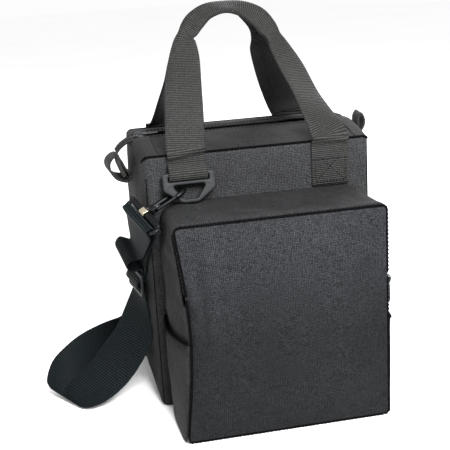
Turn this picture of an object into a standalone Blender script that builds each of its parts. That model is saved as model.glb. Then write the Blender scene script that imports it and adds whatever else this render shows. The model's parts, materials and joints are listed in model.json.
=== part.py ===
"""Soft flight bag: a padded main compartment with a zipped top, a box pocket on its front,
two webbing carrying handles and a shoulder strap on snap hooks.

Frame: millimetres in this file's constants, metres in the scene. X runs across the bag, -Y is
the pocket side, +Z is up. The origin is on the floor, under the middle of the main compartment.
"""
import math

import bmesh
import bpy
from mathutils import Matrix, Vector

MM = 0.001

# ---- driving dimensions, in millimetres ----------------------------------------------------
GAP = 0.3                 # clearance between pieces that touch
MAIN_W, MAIN_D = 229.0, 150.0
SEAM_Z = 265.0            # height of the seam that joins the walls to the top
CREST_Z = 272.0           # height of the top beside the zip
CLOTH = 1.6               # outer cloth
FOAM = 5.0
LINING = 1.0
BOARD = 3.0               # base stiffener
PADDING_TOP_Z = 244.0     # foam and lining stop here, under the folding top panels
CORNER_R = 12.0

POCKET_W, POCKET_D, POCKET_H = 203.0, 85.0, 217.0
POCKET_WALL = 2.5
POCKET_CORNER_R = 14.0
ZIP_STOP_Z = 135.0        # bottom ends of the pocket's zip
FLAP_HINGE_Z = 147.5      # the front folds down here when its zip is open
GUSSET_TOP_R = 20.0
SLIP_Z, SLIP_BULGE = 104.0, 8.5

LIP_T = 2.0               # top panel
LIP_HALF_X = 100.0
ZIP_HALF_W = 16.0         # tape and teeth of one side
TAPE_T, TAPE_DROP = 0.8, 0.3  # the tape's edge hangs a little lower than its teeth
TOOTH_W, TOOTH_H = 3.0, 2.4
TOOTH_GAP = 1.2           # between the two rows of teeth
WING_T, ARCH_H = 1.3, 2.1 # slider's wings, and the gap under its bridge

HANDLE_WEB, HANDLE_T = 38.0, 2.2
HANDLE_X = 72.0
HANDLE_PIVOT_Z = 260.6    # the webbing bends here, just above its stitched patch
PATCH_Z = (219.0, 258.0)  # stitched webbing patch under a handle leg
GRIP_W = 20.0             # the webbing is folded in half where the hand holds it

RING_T = 4.0
RING_W, RING_H = 52.0, 30.0
RING_BAR = 4.0            # the bar inside the webbing loop
RING_BAR_Z, RING_BAR_Y = 246.5, 82.0
RING_TILT = math.radians(18.0)
HOOK_ROD_R = 2.4
HOOK_TURN = {"front": math.radians(-46.0), "rear": math.radians(90.0)}  # about its shank

STRAP_WEB, STRAP_T = 50.0, 2.0

CLOTH_COLOUR = (0.045, 0.046, 0.048, 1.0)
LINING_COLOUR = (0.09, 0.09, 0.095, 1.0)
FOAM_COLOUR = (0.20, 0.20, 0.21, 1.0)
BOARD_COLOUR = (0.05, 0.05, 0.05, 1.0)
WEB_COLOUR = (0.060, 0.060, 0.056, 1.0)
STRAP_COLOUR = (0.055, 0.060, 0.062, 1.0)
ZIP_COLOUR = (0.03, 0.03, 0.032, 1.0)
PLASTIC_COLOUR = (0.13, 0.13, 0.135, 1.0)
METAL_COLOUR = (0.62, 0.61, 0.58, 1.0)

FRONT_Y, BACK_Y = -MAIN_D / 2, MAIN_D / 2
SIDE_X = MAIN_W / 2
POCKET_FRONT_Y = FRONT_Y - POCKET_D
POCKET_X = POCKET_W / 2


# ---- scene and helpers ---------------------------------------------------------------------
for old in list(bpy.data.objects):
    bpy.data.objects.remove(old, do_unlink=True)

PARTS = bpy.data.collections.new("flight_bag")
CUTTERS = bpy.data.collections.new("cutters")
bpy.context.scene.collection.children.link(PARTS)
bpy.context.scene.collection.children.link(CUTTERS)


def material(name, colour, roughness, metallic=0.0):
    made = bpy.data.materials.new(name)
    made.use_nodes = True
    shader = made.node_tree.nodes["Principled BSDF"]
    shader.inputs["Base Color"].default_value = colour
    shader.inputs["Roughness"].default_value = roughness
    shader.inputs["Metallic"].default_value = metallic
    return made


def finish_of(name):
    """Colour, roughness and metallic value from the kind of piece that the name says."""
    kinds = (
        (("foam",), FOAM_COLOUR, 0.95, 0.0),
        (("lining",), LINING_COLOUR, 0.85, 0.0),
        (("board",), BOARD_COLOUR, 0.6, 0.0),
        (("slider", "pull"), METAL_COLOUR, 0.35, 1.0),
        (("ring", "hook", "gate", "swivel", "glide"), PLASTIC_COLOUR, 0.4, 0.0),
        (("zip_half", "zip_end"), ZIP_COLOUR, 0.7, 0.0),
        (("strap",), STRAP_COLOUR, 0.75, 0.0),
        (("handle", "patch", "tab", "loop"), WEB_COLOUR, 0.75, 0.0),
    )
    for words, colour, roughness, metallic in kinds:
        if any(word in name for word in words):
            return colour, roughness, metallic
    return CLOTH_COLOUR, 0.85, 0.0


def add(name, data, place=None):
    made = bpy.data.objects.new(name, data)
    PARTS.objects.link(made)
    made.data.materials.append(material(name, *finish_of(name)))
    if place is not None:
        made.matrix_world = place
    return made


def at(x, y, z):
    return Matrix.Translation(Vector((x, y, z)) * MM)


def box_mesh(name, low, high, origin):
    """A box between two corners, its mesh measured from origin."""
    mesh = bpy.data.meshes.new(name)
    shape = bmesh.new()
    bmesh.ops.create_cube(shape, size=1.0)
    size = [(b - a) * MM for a, b in zip(low, high)]
    middle = [((a + b) / 2 - o) * MM for a, b, o in zip(low, high, origin)]
    bmesh.ops.scale(shape, vec=size, verts=shape.verts)
    bmesh.ops.translate(shape, vec=middle, verts=shape.verts)
    shape.to_mesh(mesh)
    shape.free()
    return mesh


def box(name, low, high, origin=None, bevel=0.0):
    origin = origin or [(a + b) / 2 for a, b in zip(low, high)]
    made = add(name, box_mesh(name, low, high, origin), at(*origin))
    if bevel:
        edge = made.modifiers.new("edge", "BEVEL")
        edge.width = bevel * MM
        edge.segments = 2
    return made


def cutter(name, mesh, place):
    made = bpy.data.objects.new(name, mesh)
    CUTTERS.objects.link(made)
    made.matrix_world = place
    made.hide_render = True
    made.display_type = "WIRE"
    return made


def boolean(piece, other, operation="DIFFERENCE"):
    step = piece.modifiers.new("cut", "BOOLEAN")
    step.object = other
    step.operation = operation
    step.solver = "EXACT"


def cut_box(piece, low, high):
    origin = [(a + b) / 2 for a, b in zip(low, high)]
    boolean(piece, cutter(piece.name + "_cut", box_mesh("cut", low, high, origin), at(*origin)))


def rounded(corners, steps=4):
    """An outline from (across, up, radius) corners, each turned into an arc."""
    points = []
    count = len(corners)
    for i, (across, up, radius) in enumerate(corners):
        here = Vector((across, up))
        if radius <= 0:
            points.append(here)
            continue
        before = (Vector(corners[i - 1][:2]) - here).normalized()
        after = (Vector(corners[(i + 1) % count][:2]) - here).normalized()
        half = before.angle(after) / 2
        reach = radius / math.tan(half)
        centre = here + (before + after).normalized() * radius / math.sin(half)
        start = here + before * reach - centre
        end = here + after * reach - centre
        turn = start.angle_signed(end)
        for k in range(steps + 1):
            angle = -turn * k / steps
            points.append(centre + Matrix.Rotation(angle, 2) @ start)
    return points


PLANES = {
    "XZ": Matrix(((1, 0, 0), (0, 0, -1), (0, 1, 0))).to_4x4(),
    "YZ": Matrix(((0, 0, 1), (1, 0, 0), (0, 1, 0))).to_4x4(),
    "XY": Matrix.Identity(4),
}


def flat_curve(name, outlines, thickness):
    curve = bpy.data.curves.new(name, "CURVE")
    curve.dimensions = "2D"
    curve.fill_mode = "BOTH"
    curve.extrude = thickness / 2 * MM
    for outline in outlines:
        spline = curve.splines.new("POLY")
        spline.points.add(len(outline) - 1)
        for point, (across, up) in zip(spline.points, outline):
            point.co = (across * MM, up * MM, 0.0, 1.0)
        spline.use_cyclic_u = True
    return curve


def plate(name, outlines, plane, level, thickness, origin=None):
    """A flat piece. The outlines lie in the plane; level is where its middle is."""
    shift = {"XZ": (0, level, 0), "YZ": (level, 0, 0), "XY": (0, 0, level)}[plane]
    curve = flat_curve(name, outlines, thickness)
    place = at(*shift) @ PLANES[plane]
    if origin is None:
        return add(name, curve, place)
    drawn = bpy.data.objects.new(name + "_drawn", curve)
    PARTS.objects.link(drawn)
    drawn.matrix_world = place
    return as_mesh(name, drawn, origin)


def as_mesh(name, drawn, origin, place=None):
    """A welded mesh of a drawn curve, measured from origin; the curve is removed."""
    bpy.context.view_layer.update()
    graph = bpy.context.evaluated_depsgraph_get()
    mesh = bpy.data.meshes.new_from_object(drawn.evaluated_get(graph))
    mesh.transform(drawn.matrix_world)
    shape = bmesh.new()
    shape.from_mesh(mesh)
    bmesh.ops.remove_doubles(shape, verts=shape.verts, dist=0.00002)
    bmesh.ops.translate(shape, vec=-Vector(origin) * MM, verts=shape.verts)
    bmesh.ops.recalc_face_normals(shape, faces=shape.faces)
    shape.to_mesh(mesh)
    shape.free()
    bpy.data.objects.remove(drawn)
    mesh.materials.clear()
    return add(name, mesh, place or at(*origin))


def rod_curve(name, points, radius):
    curve = bpy.data.curves.new(name, "CURVE")
    curve.dimensions = "3D"
    curve.bevel_depth = radius * MM
    curve.bevel_resolution = 2
    curve.use_fill_caps = True
    spline = curve.splines.new("POLY")
    spline.points.add(len(points) - 1)
    for point, where in zip(spline.points, points):
        point.co = (*(Vector(where) * MM), 1.0)
    return curve


def smooth(points, steps):
    """Points along a Catmull-Rom curve through the given rows of numbers."""
    rows = [Vector(p) for p in points]
    rows = [rows[0] * 2 - rows[1]] + rows + [rows[-1] * 2 - rows[-2]]
    out = []
    for a, b, c, d in zip(rows, rows[1:], rows[2:], rows[3:]):
        for k in range(steps):
            t = k / steps
            out.append((b * 2 + (c - a) * t + (a * 2 - b * 5 + c * 4 - d) * t * t
                        + (b * 3 - a - c * 3 + d) * t ** 3) / 2)
    out.append(rows[-2])
    return out


def ribbon(name, centres, across, widths, thickness, origin=(0, 0, 0), closed=False, ruled=False):
    """Webbing: an open strip through the centres, as wide as stated, made solid.

    Each row of the strip is square to the path, unless it is ruled: then it follows across.
    """
    mesh = bpy.data.meshes.new(name)
    strip = bmesh.new()
    pairs = []
    count = len(centres)
    for i, (centre, side) in enumerate(zip(centres, across)):
        ahead = centres[(i + 1) % count] if closed else centres[min(i + 1, count - 1)]
        behind = centres[i - 1] if closed or i else centres[0]
        along = (ahead - behind).normalized()
        if not ruled:
            side = side - along * side.dot(along)
        side = side.normalized() * widths[i] / 2
        pairs.append([strip.verts.new((centre + way * side - Vector(origin)) * MM)
                      for way in (-1, 1)])
    spans = list(zip(pairs, pairs[1:])) + ([(pairs[-1], pairs[0])] if closed else [])
    for (a, b), (c, d) in spans:
        strip.faces.new((a, b, d, c))
    strip.to_mesh(mesh)
    strip.free()
    made = add(name, mesh, at(*origin))
    solid = made.modifiers.new("thickness", "SOLIDIFY")
    solid.thickness = thickness * MM
    solid.offset = 0.0
    return made


# ---- main compartment ----------------------------------------------------------------------
BASE_T = 2.0
SHELL_LOW_Z = BASE_T + GAP


def main_shell():
    for name, side in (("main_front_panel", -1), ("main_back_panel", 1)):
        outline = rounded([(-SIDE_X, SHELL_LOW_Z, 0), (SIDE_X, SHELL_LOW_Z, 0),
                           (SIDE_X, SEAM_Z, CORNER_R), (-SIDE_X, SEAM_Z, CORNER_R)])
        plate(name, [outline], "XZ", side * (BACK_Y - CLOTH / 2), CLOTH)
    inner_y = BACK_Y - CLOTH - GAP
    for name, side in (("main_left_side", -1), ("main_right_side", 1)):
        middle = side * (SIDE_X - CLOTH / 2)
        box(name, (middle - CLOTH / 2, -inner_y, SHELL_LOW_Z),
            (middle + CLOTH / 2, inner_y, SEAM_Z - CORNER_R))
    base = rounded([(-SIDE_X, FRONT_Y, 6), (SIDE_X, FRONT_Y, 6), (SIDE_X, BACK_Y, 6),
                    (-SIDE_X, BACK_Y, 6)])
    plate("main_bottom_panel", [base], "XY", BASE_T / 2, BASE_T)


def padding():
    skin = CLOTH + GAP
    foam_x, foam_y = SIDE_X - skin, BACK_Y - skin
    low = SHELL_LOW_Z
    box("base_board", (-foam_x, -foam_y, low), (foam_x, foam_y, low + BOARD), bevel=0.6)
    low += BOARD + GAP
    for name, side in (("foam_front", -1), ("foam_back", 1)):
        ends = sorted((side * foam_y, side * (foam_y - FOAM)))
        box(name, (-foam_x, ends[0], low), (foam_x, ends[1], PADDING_TOP_Z), bevel=0.8)
    side_y = foam_y - FOAM - GAP
    for name, side in (("foam_left", -1), ("foam_right", 1)):
        ends = sorted((side * foam_x, side * (foam_x - FOAM)))
        box(name, (ends[0], -side_y, low), (ends[1], side_y, PADDING_TOP_Z), bevel=0.8)
    out_x, out_y = foam_x - FOAM - GAP, foam_y - FOAM - GAP
    tub = box("lining_tub", (-out_x, -out_y, low), (out_x, out_y, PADDING_TOP_Z + 2))
    cut_box(tub, (LINING - out_x, LINING - out_y, low + LINING),
            (out_x - LINING, out_y - LINING, PADDING_TOP_Z + 12))


# ---- folding top panels and the main zip -----------------------------------------------------
LIP_OUTER_Y = BACK_Y - 2.4
LIP_INNER_Y = 9.0
LIP_OUTER_Z, LIP_INNER_Z = SEAM_Z + 1.6, CREST_Z + 1.0
ZIP_Z = CREST_Z - 2.0
TOOTH_INNER_Y = TOOTH_GAP / 2
LIP_PIVOT = (0.0, BACK_Y - 1.0, SEAM_Z)
CHANNEL_Y, CHANNEL_Z = ZIP_HALF_W, ZIP_Z - 3.1   # the zip runs on through a dip in each end


def top_panels():
    for word, side in (("front", -1), ("rear", 1)):
        pivot = (0.0, side * LIP_PIVOT[1], LIP_PIVOT[2])
        profile = [(side * LIP_OUTER_Y, LIP_OUTER_Z - LIP_T / 2),
                   (side * LIP_INNER_Y, LIP_INNER_Z - LIP_T / 2),
                   (side * LIP_INNER_Y, LIP_INNER_Z + LIP_T / 2),
                   (side * LIP_OUTER_Y, LIP_OUTER_Z + LIP_T / 2)]
        plate("top_panel_" + word, [profile], "YZ", 0.0, 2 * LIP_HALF_X, pivot)
        near, far = side * TOOTH_INNER_Y, side * (TOOTH_INNER_Y + TOOTH_W)
        edge_z = ZIP_Z - TAPE_DROP
        half = [(near, ZIP_Z - TOOTH_H / 2), (far, ZIP_Z - TOOTH_H / 2),
                (far, ZIP_Z - TAPE_T / 2), (side * ZIP_HALF_W, edge_z - TAPE_T / 2),
                (side * ZIP_HALF_W, edge_z + TAPE_T / 2), (far, ZIP_Z + TAPE_T / 2),
                (far, ZIP_Z + TOOTH_H / 2), (near, ZIP_Z + TOOTH_H / 2)]
        plate("main_zip_half_" + word, [half], "YZ", 0.0, 2 * LIP_HALF_X, pivot)
    low_z = LIP_OUTER_Z - LIP_T / 2
    for word, side in (("left", -1), ("right", 1)):
        inner = LIP_HALF_X + GAP
        outer = SIDE_X - 0.5
        slope = (LIP_INNER_Z - LIP_OUTER_Z) / (LIP_OUTER_Y - LIP_INNER_Y)
        dip_z = LIP_OUTER_Z + LIP_T / 2 + slope * (LIP_OUTER_Y - CHANNEL_Y)
        outline = [(-LIP_OUTER_Y, low_z), (LIP_OUTER_Y, low_z),
                   (LIP_OUTER_Y, low_z + LIP_T), (CHANNEL_Y, dip_z), (CHANNEL_Y, CHANNEL_Z),
                   (-CHANNEL_Y, CHANNEL_Z), (-CHANNEL_Y, dip_z), (-LIP_OUTER_Y, low_z + LIP_T)]
        plate("top_end_" + word, [outline], "YZ", side * (inner + outer) / 2, outer - inner)


TAB_WEB = 24.0
SLIDER_X = -LIP_HALF_X - 8.0


def zip_ends():
    """The tape past each end of the opening, and the webbing loop that caps it.

    The slider is parked past the left end, so the tape there is split down its middle.
    """
    up = Vector((0, 1, 0))
    routes = {
        "left": [(-109, 0, ZIP_Z), (-115.5, 0, ZIP_Z), (-122, 0, 267.6), (-128.5, 0, 263),
                 (-134, 0, 257)],
        "right": [(109, 0, ZIP_Z), (114.5, 0, ZIP_Z), (118.5, 0, 268), (121, 0, 264),
                  (122, 0, 259)],
    }
    for word, route in routes.items():
        side = -1 if word == "left" else 1
        flat = [(side * (LIP_HALF_X + 0.5), 0, ZIP_Z)]
        path = smooth(flat + route, 3)
        tape = ribbon("zip_end_" + word, path, [up] * len(path),
                      [2 * ZIP_HALF_W - 4] * len(path), 1.6)
        if word == "left":
            cut_box(tape, (SLIDER_X - 8, -0.9, ZIP_Z - 4), (SLIDER_X + 12, 0.9, ZIP_Z + 4))
    loops = {
        "left": [(-135.5, 0, 255), (-142, 0, 249), (-142, 0, 241), (-136, 0, 233),
                 (-126, 0, 230), (-123, 0, 235), (-127.5, 0, 244), (-131, 0, 252)],
        "right": [(122, 0, 254), (127, 0, 256), (131.5, 0, 262), (132.5, 0, 269),
                  (129.5, 0, 275), (126, 0, 271), (125.5, 0, 264), (123.5, 0, 258.5)],
    }
    for word, route in loops.items():
        ring = [Vector(p) for p in route]
        path = smooth(ring + ring[:1], 2)[:-1]
        ribbon("zip_tab_" + word, path, [up] * len(path), [TAB_WEB] * len(path), 1.6,
               closed=True)


def slider(name, place):
    """A zip slider: two wings joined by a thin post that runs between the tooth rows.

    Its own frame has X along the zip and Z out of the bag.
    """
    wing_z = TOOTH_H / 2 + GAP
    arch = wing_z + WING_T
    parts = [((-5.0, -4.4, wing_z), (5.0, 4.4, arch)),
             ((-5.0, -4.4, -arch), (5.0, 4.4, -wing_z)),
             ((-4.6, -0.3, -wing_z - 0.6), (4.6, 0.3, wing_z + 0.6)),
             ((-3.6, -1.1, arch - 0.5), (-1.8, 1.1, arch + ARCH_H + 1.0)),
             ((1.8, -1.1, arch - 0.5), (3.6, 1.1, arch + ARCH_H + 1.0)),
             ((-3.0, -1.0, arch + ARCH_H), (3.0, 1.0, arch + ARCH_H + 1.3))]
    made = None
    for k, (low, high) in enumerate(parts):
        mesh = box_mesh(name, low, high, (0, 0, 0))
        if made is None:
            made = add(name, mesh, place)
        else:
            boolean(made, cutter(f"{name}_{k}", mesh, place), "UNION")


def pull(name, place, length):
    """The pull lies flat along -X of its frame, the slider's; its origin is on its own pin."""
    pin_z = TOOTH_H / 2 + GAP + WING_T + ARCH_H / 2
    outline = rounded([(0.75, -3.2, 0.6), (0.75, 3.2, 0.6), (-length, 3.2, 2.2),
                       (-length, -3.2, 2.2)], 3)
    eye = [(-0.75, -1.6), (-0.75, 1.6), (-5.2, 1.6), (-5.2, -1.6)]
    add(name, flat_curve(name, [outline, eye], 1.2), place @ at(0, 0, pin_z))


def main_zip_slider():
    place = at(SLIDER_X, 0, ZIP_Z)
    slider("main_zip_slider", place)
    pull("main_zip_pull", place @ Matrix.Rotation(math.pi, 4, "Z"), 20.0)


# ---- box pocket on the front -----------------------------------------------------------------
POCKET_BACK_Y = FRONT_Y - GAP
FRONT_PANEL_T = 2.2
POCKET_ZIP_Y = POCKET_FRONT_Y + 8.0
GUSSET_FRONT_Y = POCKET_ZIP_Y + 4.9
POCKET_SLIDER_Z = 141.0


def hoop(low_z, depth_out, depth_in):
    """Left side, top and right side of the pocket as one strip, seen from the front."""
    points = []
    for inset, way in ((depth_out, 1), (depth_in, -1)):
        x, z = POCKET_X - inset, POCKET_H - inset
        radius = GUSSET_TOP_R - inset - 0.5
        run = rounded([(-x, low_z, 0), (-x, z, radius), (x, z, radius), (x, low_z, 0)], 5)
        points += run[::way]
    return points


def pocket():
    depth = POCKET_BACK_Y - GUSSET_FRONT_Y
    middle_y = (POCKET_BACK_Y + GUSSET_FRONT_Y) / 2
    corner_z = POCKET_H - GUSSET_TOP_R
    low = SHELL_LOW_Z
    inner_x = POCKET_X - POCKET_WALL
    for word, side in (("left", -1), ("right", 1)):
        ends = sorted((side * POCKET_X, side * inner_x))
        box("pocket_gusset_" + word, (ends[0], GUSSET_FRONT_Y, low),
            (ends[1], POCKET_BACK_Y, corner_z - GAP / 2))
        box("pocket_binding_" + word, (ends[0], POCKET_FRONT_Y + FRONT_PANEL_T + GAP, low),
            (ends[1], GUSSET_FRONT_Y - GAP, ZIP_STOP_Z - GAP))
    top = hoop(corner_z + GAP / 2, 0.0, POCKET_WALL)
    plate("pocket_gusset_top", [top], "XZ", middle_y, depth)
    pivot = (0.0, POCKET_FRONT_Y, FLAP_HINGE_Z)
    front_y = POCKET_FRONT_Y + FRONT_PANEL_T / 2
    flap = rounded([(-POCKET_X, FLAP_HINGE_Z + GAP, 0), (POCKET_X, FLAP_HINGE_Z + GAP, 0),
                    (POCKET_X, POCKET_H, POCKET_CORNER_R),
                    (-POCKET_X, POCKET_H, POCKET_CORNER_R)], 5)
    plate("pocket_front_flap", [flap], "XZ", front_y, FRONT_PANEL_T, pivot)
    lower = [(-POCKET_X, low), (POCKET_X, low), (POCKET_X, FLAP_HINGE_Z - GAP),
             (-POCKET_X, FLAP_HINGE_Z - GAP)]
    plate("pocket_front_lower", [lower], "XZ", front_y, FRONT_PANEL_T)
    base = rounded([(-POCKET_X, POCKET_FRONT_Y, 8), (POCKET_X, POCKET_FRONT_Y, 8),
                    (POCKET_X, POCKET_BACK_Y, 0), (-POCKET_X, POCKET_BACK_Y, 0)])
    plate("pocket_bottom_panel", [base], "XY", BASE_T / 2, BASE_T)


def pocket_zip():
    """The zip runs up both sides of the pocket and over its top, just behind the front."""
    zip_x = POCKET_X - POCKET_WALL / 2
    out_in = (POCKET_WALL - TOOTH_H) / 2
    near = TOOTH_GAP / 2
    front_y = (POCKET_FRONT_Y + FRONT_PANEL_T + GAP, POCKET_ZIP_Y - near)
    rear_y = (POCKET_ZIP_Y + near, GUSSET_FRONT_Y - GAP)
    pivot = (0.0, POCKET_FRONT_Y, FLAP_HINGE_Z)
    for word, (a, b), origin in (("front", front_y, pivot), ("rear", rear_y, None)):
        shape = hoop(FLAP_HINGE_Z + GAP, out_in, out_in + TOOTH_H)
        plate("pocket_zip_half_" + word, [shape], "XZ", (a + b) / 2, b - a, origin)
    for word, side in (("left", -1), ("right", 1)):
        ends = sorted((side * (zip_x - TOOTH_H / 2), side * (zip_x + TOOTH_H / 2)))
        end = box("pocket_zip_end_" + word, (ends[0], front_y[0], ZIP_STOP_Z),
                  (ends[1], rear_y[1], FLAP_HINGE_Z - GAP))
        cut_box(end, (ends[0] - 2, POCKET_ZIP_Y - near, ZIP_STOP_Z + 0.4),
                (ends[1] + 2, POCKET_ZIP_Y + near, FLAP_HINGE_Z + 2))
    turned = Matrix(((0, 0, 1), (0, -1, 0), (1, 0, 0))).to_4x4()
    place = at(zip_x, POCKET_ZIP_Y, POCKET_SLIDER_Z) @ turned
    slider("pocket_zip_slider", place)
    pull("pocket_zip_pull", place, 24.0)


def slip_pockets():
    """An open-topped patch on each side of the box pocket."""
    for word, side in (("left", -1), ("right", 1)):
        inner = side * (POCKET_X + GAP)
        outer = side * (POCKET_X + SLIP_BULGE)
        ends = sorted((inner, outer))
        front, back = GUSSET_FRONT_Y + 1.0, POCKET_BACK_Y - 1.0
        patch = box("slip_pocket_" + word, (ends[0], front, SHELL_LOW_Z),
                    (ends[1], back, SLIP_Z))
        wall = 1.2
        hollow = sorted((side * (POCKET_X - 2), side * (POCKET_X + SLIP_BULGE - wall)))
        cut_box(patch, (hollow[0], front + wall, SHELL_LOW_Z + wall),
                (hollow[1], back - wall, SLIP_Z + 10))


# ---- webbing handles ---------------------------------------------------------------------------
def handle(name, side):
    """side is -1 for the pocket side. The strap narrows where it folds into the grip."""
    y = side * (BACK_Y + 1.0 + HANDLE_T / 2)
    route = [(-72, y, HANDLE_PIVOT_Z), (-72, y, 265), (-72, y, 270), (-69.5, y * 0.86, 297),
             (-65, y * 0.58, 326), (-59, y * 0.32, 354), (-47, y * 0.17, 379),
             (-27, y * 0.155, 393), (-6, y * 0.155, 397), (15, y * 0.155, 391),
             (34, y * 0.17, 374), (47, y * 0.32, 350), (57, y * 0.58, 323),
             (65, y * 0.86, 295), (72, y, 270), (72, y, 265), (72, y, HANDLE_PIVOT_Z)]
    across = [(1, 0, 0), (1, 0, 0), (1, 0, 0), (1, 0.1, 0), (0.95, 0.3, 0.1), (0.8, 0.6, 0.1),
              (0.3, 0.95, 0), (0, 1, 0), (0, 1, 0), (0, 1, 0), (-0.3, 0.95, 0),
              (-0.8, 0.6, 0.1), (-0.95, 0.3, 0.1), (-1, 0.1, 0), (-1, 0, 0), (-1, 0, 0),
              (-1, 0, 0)]
    wide, grip = HANDLE_WEB, GRIP_W
    widths = [wide, wide, wide, wide, wide, 32, 23, grip, grip, grip, 23, 32, wide, wide, wide,
              wide, wide]
    path = smooth(route, 2)
    turns = smooth([(a, b * -side, c) for a, b, c in across], 2)
    sizes = [v.x for v in smooth([(w, 0, 0) for w in widths], 2)]
    pivot = (0.0, y, HANDLE_PIVOT_Z)
    ribbon(name, path, turns, sizes, HANDLE_T, pivot)


def handles():
    handle("front_handle", -1)
    handle("rear_handle", 1)
    low, high = PATCH_Z
    for name, side, x in (("front_anchor_patch", -1, HANDLE_X), ("rear_anchor_patch", 1, -HANDLE_X)):
        ends = sorted((side * (BACK_Y + GAP), side * (BACK_Y + GAP + HANDLE_T)))
        box(name, (x - HANDLE_WEB / 2, ends[0], low), (x + HANDLE_WEB / 2, ends[1], high), bevel=0.4)


# ---- rings, snap hooks and swivels ---------------------------------------------------------------
def ring_tab(name, side, x):
    """Handle webbing sewn to the bag, with its end looped round the ring's top bar."""
    back, face = BACK_Y + GAP, BACK_Y + GAP + 2 * HANDLE_T
    half = RING_T / 2 + GAP
    low = RING_BAR_Z - RING_BAR / 2 - GAP
    outer = [(back, PATCH_Z[1]), (face - HANDLE_T, PATCH_Z[1]), (face, PATCH_Z[1] - 3),
             (RING_BAR_Y + half + HANDLE_T, RING_BAR_Z + 1.5),
             (RING_BAR_Y + half + HANDLE_T, low - HANDLE_T + 0.6),
             (RING_BAR_Y + half + HANDLE_T - 1.2, low - HANDLE_T),
             (RING_BAR_Y - half - 1.2, low - HANDLE_T),
             (RING_BAR_Y - half - HANDLE_T, low - HANDLE_T + 1.6),
             (back, RING_BAR_Z)]
    hole = [(RING_BAR_Y - half - 0.3, low - 0.4), (RING_BAR_Y + half + 0.3, low - 0.4),
            (RING_BAR_Y + half + 0.3, RING_BAR_Z + RING_BAR / 2 + 0.6),
            (RING_BAR_Y - half - 0.3, RING_BAR_Z + RING_BAR / 2 + 0.6)]
    shapes = [[(side * a, b) for a, b in shape] for shape in (outer, hole)]
    plate(name, shapes, "YZ", x, HANDLE_WEB)


def ring(name, side, x):
    """A moulded triangle ring: a slot for the webbing, and a rounded opening below it.

    It is drawn flat, hanging from its top bar, and tilted out over the pocket's top.
    """
    half = RING_W / 2
    top = RING_BAR / 2
    ear = (RING_W - HANDLE_WEB) / 2 - 0.9
    outline = rounded([(-half, top, 2.5), (-half, top - 17, 5), (-8, top - RING_H, 9),
                       (8, top - RING_H, 9), (half, top - 17, 5), (half, top, 2.5)], 3)
    slot = [(-half + ear, -top), (half - ear, -top), (half - ear, -top - 4.6),
            (-half + ear, -top - 4.6)]
    opening = rounded([(-15.5, top - 13.4, 1.5), (15.5, top - 13.4, 1.5),
                       (6, top - 25, 4.5), (-6, top - 25, 4.5)], 3)
    curve = flat_curve(name, [outline, slot, opening], RING_T)
    place = at(x, side * RING_BAR_Y, RING_BAR_Z) @ Matrix.Rotation(side * RING_TILT, 4, "X")
    add(name, curve, place @ PLANES["XZ"])


def frame_at(origin, along, across):
    """A frame with X along one direction and Y near another."""
    x = Vector(along).normalized()
    y = (Vector(across) - x * x.dot(Vector(across))).normalized()
    axes = Matrix((x, y, x.cross(y))).transposed().to_4x4()
    return at(*origin) @ axes


def rod(name, points, radius, place):
    drawn = bpy.data.objects.new(name + "_rod", rod_curve(name, points, radius))
    PARTS.objects.link(drawn)
    drawn.matrix_world = place
    return drawn


SWIVEL_HALF = 26.6        # half the length of the swivel's bar
SWIVEL_BACK = 11.0        # from the bar to the rod that the webbing goes round
RIM_REACH = 36.0          # from the bar to the rim of the ring
PIN_R = 1.8


def pin_mesh(name, start, end, radius):
    """A cylinder along X."""
    mesh = bpy.data.meshes.new(name + "_pin")
    shape = bmesh.new()
    spin = Matrix.Translation(Vector(((start + end) / 2, 0, 0)) * MM) @ Matrix.Rotation(
        math.pi / 2, 4, "Y")
    bmesh.ops.create_cone(shape, cap_ends=True, segments=12, radius1=radius * MM,
                          radius2=radius * MM, depth=(end - start) * MM, matrix=spin)
    shape.to_mesh(mesh)
    shape.free()
    return mesh


def swivel(word, frame):
    """The strap's end fitting. In its frame X points at the ring and Y runs along the bar."""
    name = word + "_swivel_loop"
    loop = add(name, box_mesh(name, (-13, -SWIVEL_HALF - 2.6, -2.2), (2.0, SWIVEL_HALF + 2.6, 2.2),
                              (0, 0, 0)), frame)
    bar = box_mesh(name, (-3.1, -SWIVEL_HALF - 2.0, -5), (3.0, SWIVEL_HALF + 2.0, 5), (0, 0, 0))
    slot = box_mesh(name, (-9, -SWIVEL_HALF + 0.6, -9), (-3, SWIVEL_HALF - 0.6, 9), (0, 0, 0))
    boolean(loop, cutter(name + "_slot", slot, frame))
    boolean(loop, cutter(name + "_bar", bar, frame), "UNION")
    hole = cutter(name + "_pin_hole", pin_mesh(name, -7.5, 8.0, PIN_R + 0.4), frame)
    boolean(loop, hole)
    band_name = word + "_swivel_collar"
    band = add(band_name, box_mesh(band_name, (-4.2, -4.5, -6.3), (4.2, 4.5, 6.3), (0, 0, 0)),
               frame)
    inner = box_mesh(band_name, (-3.3, -9, -5.3), (3.3, 9, 5.3), (0, 0, 0))
    boolean(band, cutter(band_name + "_inside", inner, frame))
    boolean(band, hole)


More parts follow.
